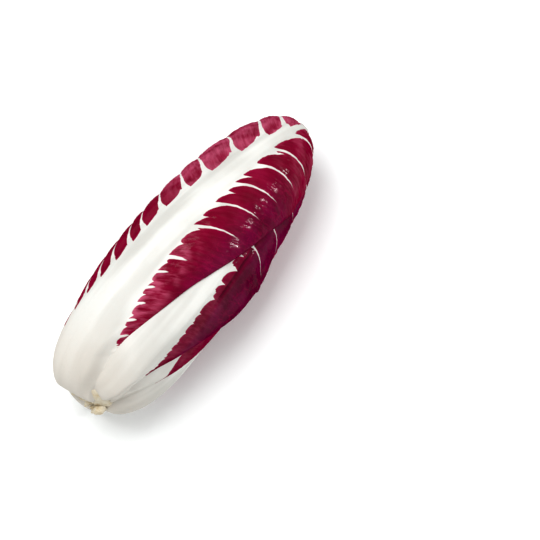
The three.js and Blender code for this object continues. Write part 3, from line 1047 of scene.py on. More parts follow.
def run_tree(piece: bpy.types.Object, tree: bpy.types.NodeTree, values: dict[str, object]) -> None:
    """Run a geometry tree on a piece and keep the result as its plain mesh.

    Args:
        piece: The piece.
        tree: The tree.
        values: Its inputs by name. They are set by the sockets' identifiers.
    """
    modifier = piece.modifiers.new(tree.name, "NODES")
    modifier.node_group = tree
    for item in tree.interface.items_tree:
        if item.item_type == "SOCKET" and item.in_out == "INPUT" and item.name in values:
            modifier[item.identifier] = values[item.name]
    settle(piece)


@dataclass(frozen=True)
class Venation:
    """The rule for the white veins and the lobed border of the rib, in millimetres."""

    root_half: float = 1.25  # half width of a main vein where it leaves the rib
    root_over: float = 8.0  # how far out it has thinned
    fine_half: float = 0.3  # half width that it has from there
    slim: Span = (1.0, 0.5)  # shares of that width
    slim_over: Span = (14.0, 40.0)  # where out from the rib they hold
    crowding: Span = (6.0, 17.0)  # spacings at which a vein is slim and at which it is full
    crowded: float = 0.45  # share of its width that a slim one has
    fade_from: float = 0.5  # share of its run at which a vein starts to fade
    minor_root_half: float = 0.5  # the same of the small veins halfway between
    minor_root_over: float = 5.0
    minor_fine_half: float = 0.12
    minor_fade: Span = (0.2, 0.5)  # in runs of the main veins
    wander: float = 0.1  # of the main veins, in spacings
    wander_over: Span = (0.0, 9.0)
    swell: Pattern = Pattern(0.0, 0.11)
    wobble: Pattern = Pattern(7.0, 0.45, 1.0)
    main_wobble: float = 0.3
    minor_wobble: float = 0.8
    join_over: float = 0.05  # where main and minor veins meet
    lobe_wander: float = 0.28  # of a lobe's place in its cell
    lobe_sway: Pattern = Pattern(3.0, 0.16, 1.0, across=0.5)
    retreat_power: float = 5.0  # how late the white runs out below a vein
    jagged: float = 1.2  # how ragged the border is
    jag: Pattern = Pattern(11.0, 0.55, 3.0, 0.65, across=0.35)
    jag_over: Span = (-1.0, 2.0)
    least_jag: float = 0.5  # share of it on the rib itself
    teeth: Pattern = Pattern(15.0, roughness=0.6, along=0.5, across=0.02, over="root")
    teeth_share: float = 2.4
    sharp: float = 0.22  # half the width over which white turns to red
    vein_sharp: float = 0.8  # share of that inside a vein
    vein_fade: Span = (0.05, 0.3)  # half widths between which a vein shows

    def vein(self, wire: Wire) -> tuple[Value, Value]:
        """Lay out the veins.

        Args:
            wire: The tree to work in.

        Returns:
            The distance from the nearest vein, and half that vein's width there.
        """
        beyond = wire.read("beyond_rib").at_least(0.0)
        spacing, run = wire.read("spacing"), wire.read("vein_run")
        swell = (self.swell.lay(wire) - 0.5) * self.wander
        wobble = self.wobble.lay(wire) - 0.5
        phase = wire.read("vein_phase") + swell * wire.ease(beyond, *self.wander_over)
        size = wire.ease(spacing, *self.crowding, self.crowded, 1.0)

        distance = phase.to_whole() * spacing + wobble * self.main_wobble
        fine = wire.ease(beyond, *self.slim_over, *self.slim) * self.fine_half
        fade = wire.ease(beyond, run * self.fade_from, run, 1.0, 0.0)
        half = (beyond / -self.root_over).exp() * self.root_half + fine
        half = half * size * fade * wire.read("vein_weight")

        minor_distance = phase.to_half() * spacing + wobble * self.minor_wobble
        starts, ends = self.minor_fade
        fade = wire.ease(beyond, run * starts, run * ends, 1.0, 0.0)
        minor_half = (beyond / -self.minor_root_over).exp() * self.minor_root_half + self.minor_fine_half
        minor_half = minor_half * size * fade * wire.read("vein_minor")

        gap = minor_distance - minor_half - distance + half
        main = wire.ease(gap, -self.join_over, self.join_over)
        other = 1.0 - main
        return distance * main + minor_distance * other, half * main + minor_half * other

    def white_reach(self, wire: Wire) -> Value:
        """Lay out the lobed border.

        Args:
            wire: The tree to work in.

        Returns:
            How far out the white of the rib runs.
        """
        sway = (self.lobe_sway.lay(wire) - 0.5) * self.lobe_wander
        lobe = (wire.read("lobe_phase") + sway).fraction()
        tip = wire.read("lobe_tip")
        below = (tip - lobe).at_least(0.0) / tip
        above = (lobe - tip).at_least(0.0) / (1.0 - tip)
        scallop = (below + above) ** wire.read("scallop")
        before_vein = wire.read("vein_phase").fraction() ** self.retreat_power
        teeth = (self.teeth.lay(wire) - 0.5) * self.teeth_share * wire.read("tooth")
        jag = (self.jag.lay(wire) - 0.5 + teeth) * self.jagged
        reach = wire.read("spike") * scallop + wire.read("retreat") * before_vein + wire.read("all_white")
        ragged = jag * wire.ease(wire.read("beyond_rib"), *self.jag_over, self.least_jag, 1.0)
        return reach - wire.read("inset") + ragged

    def white(self, wire: Wire) -> Value:
        """Tell white from red.

        Args:
            wire: The tree to work in.

        Returns:
            1 on the white rib and veins and 0 on the red blade.
        """
        rib = wire.ease(self.white_reach(wire) - wire.read("beyond_rib"), -self.sharp, self.sharp)
        distance, half = self.vein(wire)
        vein = wire.ease(half - distance, -self.sharp, self.sharp * self.vein_sharp)
        return rib.at_least(vein * wire.ease(half, *self.vein_fade))


# ---- finishes


def new_material(name: str) -> tuple[bpy.types.Material, Wire, bpy.types.Node]:
    """Start a node material.

    Args:
        name: Its name.

    Returns:
        The material, its wire and its main shader.
    """
    material = bpy.data.materials.new(name)
    material.use_nodes = True
    wire = Wire(material.node_tree)
    return material, wire, material.node_tree.nodes["Principled BSDF"]


def colour(*channels: int) -> Colour:
    """Turn a screen colour, its red, green and blue up to 255, into a linear opaque one."""
    shares = [channel / 255.0 for channel in channels]
    return (*(s / 12.92 if s <= 0.04045 else ((s + 0.055) / 1.055) ** 2.4 for s in shares), 1.0)


@dataclass(frozen=True)
class LeafFinish:
    """Waxy red blade with white rib and veins, with painted sheen and painted shade in its colours."""

    venation: Venation
    crimson_deep: Colour = colour(106, 0, 32)
    crimson: Colour = colour(143, 0, 50)
    purple_deep: Colour = colour(78, 0, 38)
    purple: Colour = colour(118, 0, 64)
    # painted shade: the dark of the crease on a leaf's plus side
    edge_pink: Colour = colour(166, 10, 72)
    fold: Colour = colour(48, 0, 22)
    # waxy bloom, and painted sheen of the light on the blade
    bloom: Colour = colour(190, 92, 122)
    rib_white: Colour = colour(222, 222, 218)
    # the rib's darker white: its streaks are partly grain and partly painted shade along the rib's soft
    # valleys
    rib_shade: Colour = colour(203, 202, 197)
    # painted shade: the rib greys and warms towards its foot
    foot_shade: Colour = colour(204, 197, 187)

    cloud: Pattern = Pattern(20.0, 0.06)
    mottle: Pattern = Pattern(24.0, 1.0, 3.0, 0.6, along=0.3, across=0.07, over="root")
    mottled: float = 0.4  # share of the mottle in the tone, the rest being the cloud's
    tones: Span = (0.25, 0.75)  # where the tone is deep and where it is light
    shading: float = 0.3
    hue_swing: float = 0.5
    border_over: float = 2.2  # how far out from the white the pink of its border runs
    vein_border_over: float = 0.9
    bordered: Span = (0.1, 0.5)  # half widths of vein between which the pink comes
    border_pink: float = 0.42
    crease_shade_share: float = 0.6
    streak: Pattern = Pattern(31.0, 1.0, 3.0, 0.6, along=0.5, across=0.12, over="root")
    patch: Pattern = Pattern(37.0, 0.11, 1.0)
    film_and_sheen: Span = (0.16, 0.88)  # where the bloom and its painted sheen come and where they are full
    film_and_sheen_patchy: Span = (0.26, -0.22)  # what is added to that where it lies in patches
    most_bloom_and_sheen: float = 0.85
    net_sway: float = 1.6
    net_sway_scale: float = 0.25
    net_sway_seed: float = 5.0
    net_along: float = 0.24
    net_across: float = 0.13
    net_line: float = 0.05  # width of the fine veins' pink, in cells
    net_over: Span = (8.0, 22.0)  # how far out from the rib they come
    net_pink: float = 0.3
    rib_grain_and_shade: Pattern = Pattern(40.0, roughness=0.4, along=0.01, across=0.12)
    rib_cloud: Pattern = Pattern(44.0, 0.04)
    rib_grain_and_shade_share: float = 0.7
    rib_tones: Span = (0.36, 0.6)
    foot_shade_share: float = 0.7

    net_groove: float = 0.2  # width of the fine veins' relief, in cells
    net_height: float = 0.4
    pores: Pattern = Pattern(50.0, 1.7, 3.0, 0.6)
    pore_height: float = 0.04
    fibre: Pattern = Pattern(54.0, 1.0, 3.0, 0.6, along=0.05, across=1.1)
    fibre_height: float = 0.15
    bump_strength: float = 0.14
    bump_height: float = 0.25

    roughness: float = 0.165
    rub: Pattern = Pattern(60.0, 0.35, 3.0, 0.6)
    rub_swing: float = 0.16
    white_roughness: float = 0.12  # what the white adds
    gloss: float = 0.1  # lost towards the outline, where the waxy skin scatters light instead
    gloss_over: Span = (0.22, 0.58)
    glow: float = 0.06  # share of the light that goes into the leaf
    glow_radius: tuple[float, float, float] = (1.0, 0.7, 0.6)
    glow_depth: float = 0.9

    def blade(self, wire: Wire) -> Value:
        """Colour the red of the blade, with painted shade and painted sheen laid into it.

        Args:
            wire: The material's wire.

        Returns:
            The blade's colour.
        """
        cloud, mottle = self.cloud.lay(wire), self.mottle.lay(wire)
        # painted shade deepens the tone where the mesh keeps a shade
        tone = cloud * (1.0 - self.mottled) + mottle * self.mottled - wire.read("shade") * self.shading
        tone = wire.ease(tone, *self.tones)
        hue = (wire.read("purple") + (cloud - 0.5) * self.hue_swing).at_least(0.0).at_most(1.0)
        red = wire.blend(tone, self.crimson_deep, self.crimson)
        violet = wire.blend(tone, self.purple_deep, self.purple)
        skin = wire.blend(hue, red, violet)
        skin = wire.blend(self.border(wire) * self.border_pink, skin, self.edge_pink)
        # painted shade along the crease, over its real groove
        skin = wire.blend(wire.read("crease") * self.crease_shade_share, skin, self.fold)
        outer = wire.ease(wire.read("beyond_rib"), *self.net_over)
        skin = wire.blend((1.0 - self.net(wire, self.net_line)) * outer * self.net_pink, skin, self.edge_pink)
        # waxy bloom, with painted sheen laid on it as a paler pink
        return wire.blend(self.bloom_and_sheen_share(wire), skin, self.bloom)

    def border(self, wire: Wire) -> Value:
        """Find the blade's border against the white.

        Args:
            wire: The material's wire.

        Returns:
            1 next to the white and 0 away from it.
        """
        near = self.venation.white_reach(wire) - wire.read("beyond_rib")
        distance, half = self.venation.vein(wire)
        beside = wire.ease(half - distance, -self.vein_border_over, 0.0) * wire.ease(half, *self.bordered)
        return wire.ease(near, -self.border_over, 0.0).at_least(beside)

    def bloom_and_sheen_share(self, wire: Wire) -> Value:
        """Lay out the waxy bloom and the painted sheen of the light that goes with it.

        Args:
            wire: The material's wire.

        Returns:
            Its share.
        """
        mixed = self.streak.lay(wire) * 0.5 + self.patch.lay(wire) * 0.5
        patchy = wire.read("patchy")
        film_and_sheen = wire.ease(mixed, *(at + patchy * more for at, more in zip(self.film_and_sheen, self.film_and_sheen_patchy)))
        return (film_and_sheen * wire.read("bloom")).at_most(self.most_bloom_and_sheen)

    def net(self, wire: Wire, width: float) -> Value:
        """Lay out the net of the finest veins.

        Args:
            wire: The material's wire.
            width: The width of a vein, in cells.

        Returns:
            0 on a vein and 1 between them.
        """
        place = wire.vector(wire.read("along"), wire.read("across"), self.net_sway_seed)
        sway = (wire.noise(place, self.net_sway_scale) - 0.5) * self.net_sway
        stretched = wire.vector(
            wire.read("root") * self.net_along + sway, wire.read("across") * self.net_across + sway,
            wire.read("leaf_seed"),
        )
        cells = wire.add("ShaderNodeTexVoronoi", feature="DISTANCE_TO_EDGE")
        return wire.ease(wire.fill(cells, {"Vector": stretched, "Scale": 1.0}), 0.0, width)

    def rib(self, wire: Wire) -> Value:
        """Colour the white of the rib, with streaks whose darker bands are partly painted shade, and painted
        shade towards its foot.

        Args:
            wire: The material's wire.

        Returns:
            The rib's colour.
        """
        cloud = self.rib_cloud.lay(wire) * (1.0 - self.rib_grain_and_shade_share)
        tone = wire.ease(self.rib_grain_and_shade.lay(wire) * self.rib_grain_and_shade_share + cloud, *self.rib_tones)
        pale = wire.blend(tone, self.rib_shade, self.rib_white)
        # painted shade that grows towards the foot
        return wire.blend(wire.read("foot") * self.foot_shade_share, pale, self.foot_shade)

    def bump(self, wire: Wire, white: Value) -> Value:
        """Add the finest relief.

        Args:
            wire: The material's wire.
            white: The share of white.

        Returns:
            The shader's normal.
        """
        skin = self.net(wire, self.net_groove) * self.net_height + self.pores.lay(wire) * self.pore_height
        height = skin * (1.0 - white) + self.fibre.lay(wire) * white * self.fibre_height
        return wire.bump(height, self.bump_strength, self.bump_height)

    def material(self, name: str) -> bpy.types.Material:
        """Build the material.

        Args:
            name: Its name.

        Returns:
            The material, which reads the numbers that a leaf's mesh keeps.
        """
        material, wire, shader = new_material(name)
        white = self.venation.white(wire)
        rough = self.roughness + (self.rub.lay(wire) - 0.5) * self.rub_swing + white * self.white_roughness
        away = Value(wire, wire.add("ShaderNodeLayerWeight").outputs["Facing"])
        wire.fill(shader, {
            "Base Color": wire.blend(white, self.blade(wire), self.rib(wire)),
            "Roughness": rough,
            "Normal": self.bump(wire, white),
            "Specular IOR Level": wire.ease(away, *self.gloss_over, self.gloss, 0.0),
            "Subsurface Weight": self.glow,
            "Subsurface Radius": self.glow_radius,
            "Subsurface Scale": self.glow_depth * MM,
        })
        return material


@dataclass(frozen=True)
class StemFinish:
    """Dry cut stem. Swells are counted in a metre."""

    cream: Colour = colour(216, 208, 189)
    tan: Colour = colour(196, 178, 142)
    brown: Colour = colour(160, 134, 98)
    cloud_scale: float = 180.0
    tan_over: Span = (0.42, 0.7)
    fleck_scale: float = 900.0
    brown_over: Span = (0.6, 0.75)
    browned: float = 0.5
    roughness: float = 0.7
    rough_swing: float = 0.2
    bump_strength: float = 0.6
    bump_height: float = 0.4

    def material(self, name: str) -> bpy.types.Material:
        """Build the material.

        Args:
            name: Its name.

        Returns:
            The material.
        """
        material, wire, shader = new_material(name)
        place = wire.add("ShaderNodeTexCoord").outputs["Object"]
        cloud = wire.noise(place, self.cloud_scale, detail=4.0, roughness=0.6)
        fleck = wire.noise(place, self.fleck_scale, detail=3.0, roughness=0.6)
        dry = wire.blend(wire.ease(cloud, *self.tan_over), self.cream, self.tan)
        wire.fill(shader, {
            "Base Color": wire.blend(wire.ease(fleck, *self.brown_over) * self.browned, dry, self.brown),
            "Roughness": self.roughness + (fleck - 0.5) * self.rough_swing,
            "Normal": wire.bump(cloud * 0.5 + fleck, self.bump_strength, self.bump_height),
        })
        return material


@dataclass(frozen=True)
class FloorFinish:
    """Plain pale table top."""

    tone: float = 0.96
    cast: tuple[float, float, float] = (0.982, 1.0, 0.999)  # makes up for the red that the leaves throw on it
    paler: float = 0.02
    cloud_scale: float = 6.0
    roughness: float = 0.9
    gloss: float = 0.1

    def material(self, name: str) -> bpy.types.Material:
        """Build the material.

        Args:
            name: Its name.

        Returns:
            The material.
        """
        material, wire, shader = new_material(name)
        cloud = wire.noise(wire.add("ShaderNodeTexCoord").outputs["Object"], self.cloud_scale)
        pale, paler = (
            (*(tone * share for share in self.cast), 1.0) for tone in (self.tone, self.tone + self.paler)
        )
        wire.fill(shader, {
            "Base Color": wire.blend(cloud, pale, paler),
            "Roughness": self.roughness,
            "Specular IOR Level": self.gloss,
        })
        return material


# ---- relief of a leaf


@dataclass(frozen=True)
class LeafRelief:
    """Raises the veins, puffs up the blade between them and crinkles it, by a geometry tree."""

    venation: Venation
    vein_height: float = 0.45
    pucker_height: float = 0.8
    crinkle_height: float = 0.55
    rib_ridge_height: float = 0.12
    frill_height: float = 1.4
    crease_depth: float = 1.0
    vein_flank: float = 0.45  # how far a vein's ridge runs out past it
    vein_rise: Span = (0.0, 0.9)  # half widths over which it comes up
    vein_over: Span = (-2.0, 2.0)  # from the rib's border
    blade_over: Span = (-1.0, 3.0)
    pucker_over: Span = (0.5, 8.0)
    pucker_power: float = 3.0
    fold: Pattern = Pattern(70.0, along=0.3, across=0.09, over="root")
    folded: float = 1.6
    fine: Pattern = Pattern(74.0, 0.32)
    fine_share: float = 0.7
    grain: Pattern = Pattern(78.0, along=0.012, across=0.28)
    wave: Pattern = Pattern(82.0, 0.16, 1.0)
    wave_middle: float = 0.35

    TREE = "leaf_relief"
    HEIGHTS = (
        "vein_height", "pucker_height", "crinkle_height", "rib_ridge_height", "frill_height", "crease_depth",
    )

    def heights(self) -> dict[str, float]:
        """List the heights by the names of the tree's inputs, such as Vein Height."""
        return {name.replace("_", " ").title(): getattr(self, name) for name in self.HEIGHTS}

    def tree(self) -> bpy.types.NodeTree:
        """Build the geometry tree.

        Returns:
            The tree, with an input for each height and one for the material.
        """
        wire, given = start_tree(self.TREE, dict.fromkeys(self.heights(), "Float"))
        vein_height, pucker_height, crinkle_height, ridge_height, frill_height, crease_depth = (
            Value(wire, given.outputs[name]) for name in self.heights()
        )
        beyond = wire.read("beyond_rib")
        on_blade = wire.ease(beyond, *self.blade_over)
        distance, half = self.venation.vein(wire)
        ridge = (-(distance / (half + self.vein_flank)) ** 2.0).exp()
        ridge = ridge * wire.ease(half, *self.vein_rise) * wire.ease(beyond, *self.vein_over)
        dome = 1.0 - (1.0 - wire.read("vein_phase").to_whole() * 2.0) ** self.pucker_power
        puff = dome * wire.ease(beyond, *self.pucker_over) * wire.read("pucker")
        crinkle = abs(self.fold.lay(wire) - 0.5) * 2.0 * self.folded + self.fine.lay(wire) * self.fine_share
        crinkle = crinkle * on_blade * wire.read("crinkle")
        frill = (self.wave.lay(wire) - self.wave_middle) * wire.read("frill")
        height = (
            ridge * vein_height + puff * pucker_height + crinkle * crinkle_height
            + self.grain.lay(wire) * (1.0 - on_blade) * ridge_height
            - wire.read("crease") * crease_depth
        ) * wire.read("exposure") + frill * frill_height
        push = wire.scaled(wire.add("GeometryNodeInputNormal").outputs[0], height * MM)
        move = {"Geometry": given.outputs["Geometry"], "Offset": push}
        return end_tree(wire, given, wire.fill(wire.add("GeometryNodeSetPosition"), move))

    def raise_on(self, piece: bpy.types.Object, material: bpy.types.Material) -> None:
        """Raise a piece's relief and dress it.

        Args:
            piece: The piece, with the leaf's numbers at its points.
            material: What it is dressed in.
        """
        tree = bpy.data.node_groups.get(self.TREE) or self.tree()
        run_tree(piece, tree, {**self.heights(), "Material": material})


# ---- the leaves of this head


FRONT_LEFT_ROOTS = (27, 38, 50, 62, 74.5, 89.5, 100.5, 116.5, 134.5, 149, 170, 190, 207, 222)
LOBE_AFTER_ROOT = 0.12  # share of the way to the next root
FRONT_LEFT_VEINS = SideVeins(
    roots=FRONT_LEFT_ROOTS,
    lobes=tuple(a + LOBE_AFTER_ROOT * (b - a) for a, b in zip(FRONT_LEFT_ROOTS, FRONT_LEFT_ROOTS[1:])),
    lean=((60, 0.8), (118, 0.7), (151, 0.68), (171, 0.76), (191, 0.95)),
    spike=((30, 3.0), (75, 3.4), (100, 3.0), (140, 3.6), (190, 3.6), (215, 2.4)),
    lobe_tip=0.27,
    bow=0.6,
    bend=9.0,
    scallop=1.9,
    first_red=24.0,
    inset=((50, 7.0), (85, 6.0), (110, 2.6), (130, 2.0), (195, 2.2), (215, 6.0)),
    run=((40, 16.0), (60, 30.0), (100, 60.0)),
    weight=1.5,
    pucker=1.5,
    tooth=0.7,
)
FRONT_RIGHT_VEINS = SideVeins(
    roots=(50, 61, 72, 83, 93, 117.5, 136.5, 154.5, 173, 189.5, 209, 226),
    lobes=(35, 41, 48, 56, 62, 69, 80, 95, 108, 118.5, 127.6, 139, 150, 156.6, 164, 176.4, 192, 215),
    spike=((30, 1.4), (90, 2.2), (125, 3.6), (150, 4.6), (190, 5.0), (215, 3.0)),
    scallop=3.2,
    tooth=0.3,
    lean=((40, 0.25), (95, 0.45), (125, 0.75), (150, 0.9), (170, 1.0), (190, 1.12), (210, 1.4)),
)
RIGHT_PLUS_VEINS = SideVeins(
    roots=(50, 60.7, 75.6, 96.8, 116, 134, 153, 172, 190, 208),
    lobes=(
        37, 44, 50, 56.5, 60.7, 70, 75.6, 83.6, 96.8, 106, 118, 127, 136, 145, 155, 164, 174, 190, 206,
    ),
    lean=((40, 0.12), (100, 0.12), (120, 0.05), (135, -0.1), (155, 0.0), (190, 0.5)),
    spike=((40, 1.2), (80, 1.8), (98, 4.2), (140, 5.0), (200, 5.0)),
    scallop=3.6,
    tooth=0.3,
    run=((112, 1.0), (122, 3.0), (129, 40.0), (150, 55.0), (200, 55.0)),
    weight=0.75,
)
RIGHT_LOW_PLUS_VEINS = SideVeins(
    roots=(44, 66, 90, 112, 134, 156, 178, 200),
    lobes=(38, 52, 66, 80, 96, 112, 128, 145, 162, 180, 200),
    spike=((40, 0.2), (90, 0.8), (130, 3.0), (200, 4.0)),
    run=((100, 0.5), (130, 12.0), (160, 24.0)),
    retreat=0.0,
    first_red=34.0,
)

OUTER_LEAVES = (
    LeafShape(
        "leaf_under", at=270, start=9, end=160,
        rib_half=(17, 24, 25, 21, 16.5, 12, 8, 5.5, 3.5),
        minus=(17, 24, 32, 47, 58, 66, 72, 72, 64),
        foot_past=-0.03, rows=301, columns=161,
    ),
    LeafShape(
        "leaf_front", at=66, start=9, end=187,
        rib=(-4, -6, -6, -4, 0, 8, 13, 13, 12), rib_half=(20, 29, 29, 23, 18, 12, 7.5, 5, 3.5),
        minus=(24, 36, 52, 73, 88, 96, 98, 92, 80), plus=(16, 23, 32, 46, 61, 71, 82, 80, 70),
        veins={Side.MINUS: FRONT_LEFT_VEINS, Side.PLUS: FRONT_RIGHT_VEINS},
        purple=0.1, purple_out=0.75, bloom=0.6, foot_past=0.034, rows=397, columns=221,
    ),
    LeafShape(
        "leaf_right", at=118, start=9, end=177,
        rib=(5, 4.5, 2, 1.5, 1, 0, 0, 0, 0), rib_half=(9, 15, 18, 17, 14, 10.5, 7, 5, 3.5),
        minus=(4, 11, 20, 40, 60, 72, 80, 78, 70), plus=(14, 20, 28, 47, 64, 76, 82, 80, 70),
        veins={Side.PLUS: RIGHT_PLUS_VEINS},
        purple=0.35, purple_out=0.6, purple_from=12.0, bloom=0.15, crease=(85.0, 190.0), lift=3.3, shade=0.15,
        foot_past=0.036, rows=361, columns=189,
    ),
    LeafShape(
        "leaf_right_low", at=146, start=9, end=172,
        rib=(-2, -2, -1, -5, -6, -6, -5, -4, -3), rib_half=(9, 14, 16, 13.5, 11, 8.5, 6.5, 5, 3.5),
        minus=(11, 16, 20, 38, 56, 68, 76, 74, 66), plus=(9, 13, 22.5, 38.5, 54, 66, 74, 74, 66),
        veins={Side.PLUS: RIGHT_LOW_PLUS_VEINS},
        purple=0.35, bloom=0.12, foot_past=0.036, rows=325, columns=161,
    ),
    LeafShape(
        "leaf_back_low", at=190, start=9, end=168,
        rib_half=(16, 22, 22, 18, 14.5, 11, 7.5, 5, 3.5),
        minus=(16, 23, 30, 45, 62, 74, 80, 78, 70),
        purple=0.35, bloom=0.3, rows=325, columns=181,
    ),
    LeafShape(
        "leaf_left", at=338, start=9, end=174,
        rib_half=(16, 22, 23, 19, 15, 11, 7.5, 5, 3.5),
        minus=(16, 23, 30, 46, 62, 74, 80, 78, 70),
        purple=0.25, foot_past=-0.03, rows=325, columns=181,
    ),
)
INNER_AT = (230, 20, 305, 92, 158)
INNER_LEAVES = tuple(
    LeafShape(
        f"inner_leaf_{i + 1}", at=at, start=26, end=176,
        rib_half=(14, 18, 19, 16, 13, 10, 7, 5, 3.5), minus=(15, 21, 30, 46, 60, 70, 76, 74, 66),
        floor_depth=2.5, rib_share=0.55, purple=0.45, bloom=0.2, rows=125, columns=61,
    )
    for i, at in enumerate(INNER_AT)
)
HEART_AT = (52, 172, 292)
HEART_LEAVES = tuple(
    LeafShape(
        f"heart_leaf_{i + 1}", at=at, start=40, end=172,
        rib_half=(12, 14, 14, 13, 11, 9, 7, 5, 4), minus=(20, 34, 46, 56, 62, 66, 68, 66, 60),
    )
    for i, at in enumerate(HEART_AT)
)


@dataclass
class LeafNumbers:
    """The numbers that the relief and the finish read, worked out from where points are on a leaf."""

    leaf: Leaf
    index: int
    rule: VeinRule = VeinRule()
    tip_slim: float = 0.85  # how much of its veins a leaf has lost at its tip
    tip_slim_over: Span = (0.91, 0.985)
    # where the painted shade at the rib's foot fades out
    foot_over: Span = (4.0, 60.0)  # along the leaf, as are the places below unless they say otherwise
    purple_before_crease: float = 1.0
    purple_goes: Span = (175.0, 215.0)
    bloom_and_sheen_beside: Span = (7.0, 17.0)  # how far out from the rib its plus side's bloom and painted sheen end
    low_bloom_and_sheen: float = 1.3
    low_bloom_and_sheen_goes: Span = (90.0, 125.0)
    tip_bloom_and_sheen: float = 0.45
    tip_bloom_and_sheen_comes: Span = (180.0, 215.0)
    thin_bloom_and_sheen: float = 0.08
    minus_thin_bloom_and_sheen: float = 0.1
    # towards the tip the minus side's bloom turns into painted sheen
    minus_far_bloom_and_sheen: float = 1.6
    minus_far_bloom_and_sheen_comes: Span = (115.0, 155.0)
    minus_patchy: float = 0.5
    shade_goes: Span = (120.0, 170.0)
    crease_comes_over: float = 20.0
    smooth_share: float = 0.35  # share of the crinkle that the stalk has
    crinkle_comes: Span = (60.0, 190.0)
    seed_step: float = 100.0  # keeps the patterns of two leaves apart
    seed_from: float = 13.0

    def at(self, place: Place, along: np.ndarray) -> dict[str, np.ndarray]:
        """Work out the numbers.

        Args:
            place: Where the points are on the leaf.
            along: The distance along the spine.

        Returns:
            The numbers by name.
        """
        leaf, shape = self.leaf, self.leaf.shape
        beyond = leaf.beyond_rib(place)
        on_plus = place.across > leaf.rib_middle(place.share)
        slimmer = 1.0 - self.tip_slim * smoothstep(place.share, *self.tip_slim_over)
        plus, minus = (
            shape.veins.get(side) or self.rule.side(2 * self.index + side.value + 1)
            for side in (Side.PLUS, Side.MINUS)
        )
        plus, minus = (veins.numbers(along, beyond, slimmer) for veins in (plus, minus))
        purple_starts = shape.crease_out - self.purple_before_crease
        turning = shape.purple_out * smoothstep(beyond, purple_starts, shape.purple_from) * on_plus
        near_rib = 1.0 - smoothstep(beyond, *self.bloom_and_sheen_beside)
        low = self.low_bloom_and_sheen * near_rib * (1.0 - smoothstep(along, *self.low_bloom_and_sheen_goes))
        tip = self.tip_bloom_and_sheen * smoothstep(along, *self.tip_bloom_and_sheen_comes)
        plus_bloom_and_sheen = self.thin_bloom_and_sheen + (low + tip)
        far = self.minus_far_bloom_and_sheen * smoothstep(along, *self.minus_far_bloom_and_sheen_comes)
        # where the crease runs: the relief grooves it and the finish darkens it with painted shade
        crease = np.exp(-((beyond - shape.crease_out) ** 2)) * on_plus
        starts, ends = shape.crease
        crease = crease * (smoothstep(along, starts, starts + self.crease_comes_over) * (along < ends))
        return {
            **{name: np.where(on_plus, plus[name], minus[name]) for name in plus},
            "along": along,
            "across": leaf.across_at(place),
            "beyond_rib": beyond,
            "foot": 1.0 - smoothstep(along, *self.foot_over),
            "purple": shape.purple + turning * (1.0 - smoothstep(along, *self.purple_goes)),
            "bloom": shape.bloom * np.where(on_plus, plus_bloom_and_sheen, self.minus_thin_bloom_and_sheen + far),
            "patchy": np.where(on_plus, 1.0, self.minus_patchy),
            "shade": shape.shade * (1.0 - smoothstep(along, *self.shade_goes)) * on_plus,
            "crease": crease,
            "crinkle": self.smooth_share + (1.0 - self.smooth_share) * smoothstep(along, *self.crinkle_comes),
            "leaf_seed": np.full(along.shape, self.seed_step * self.index + self.seed_from),
        }


@dataclass
class Gaps:
    """How far points are from their leaf's outline and from the leaves over it, in millimetres."""

    minus: np.ndarray
    plus: np.ndarray
    tip: np.ndarray
    clear: np.ndarray


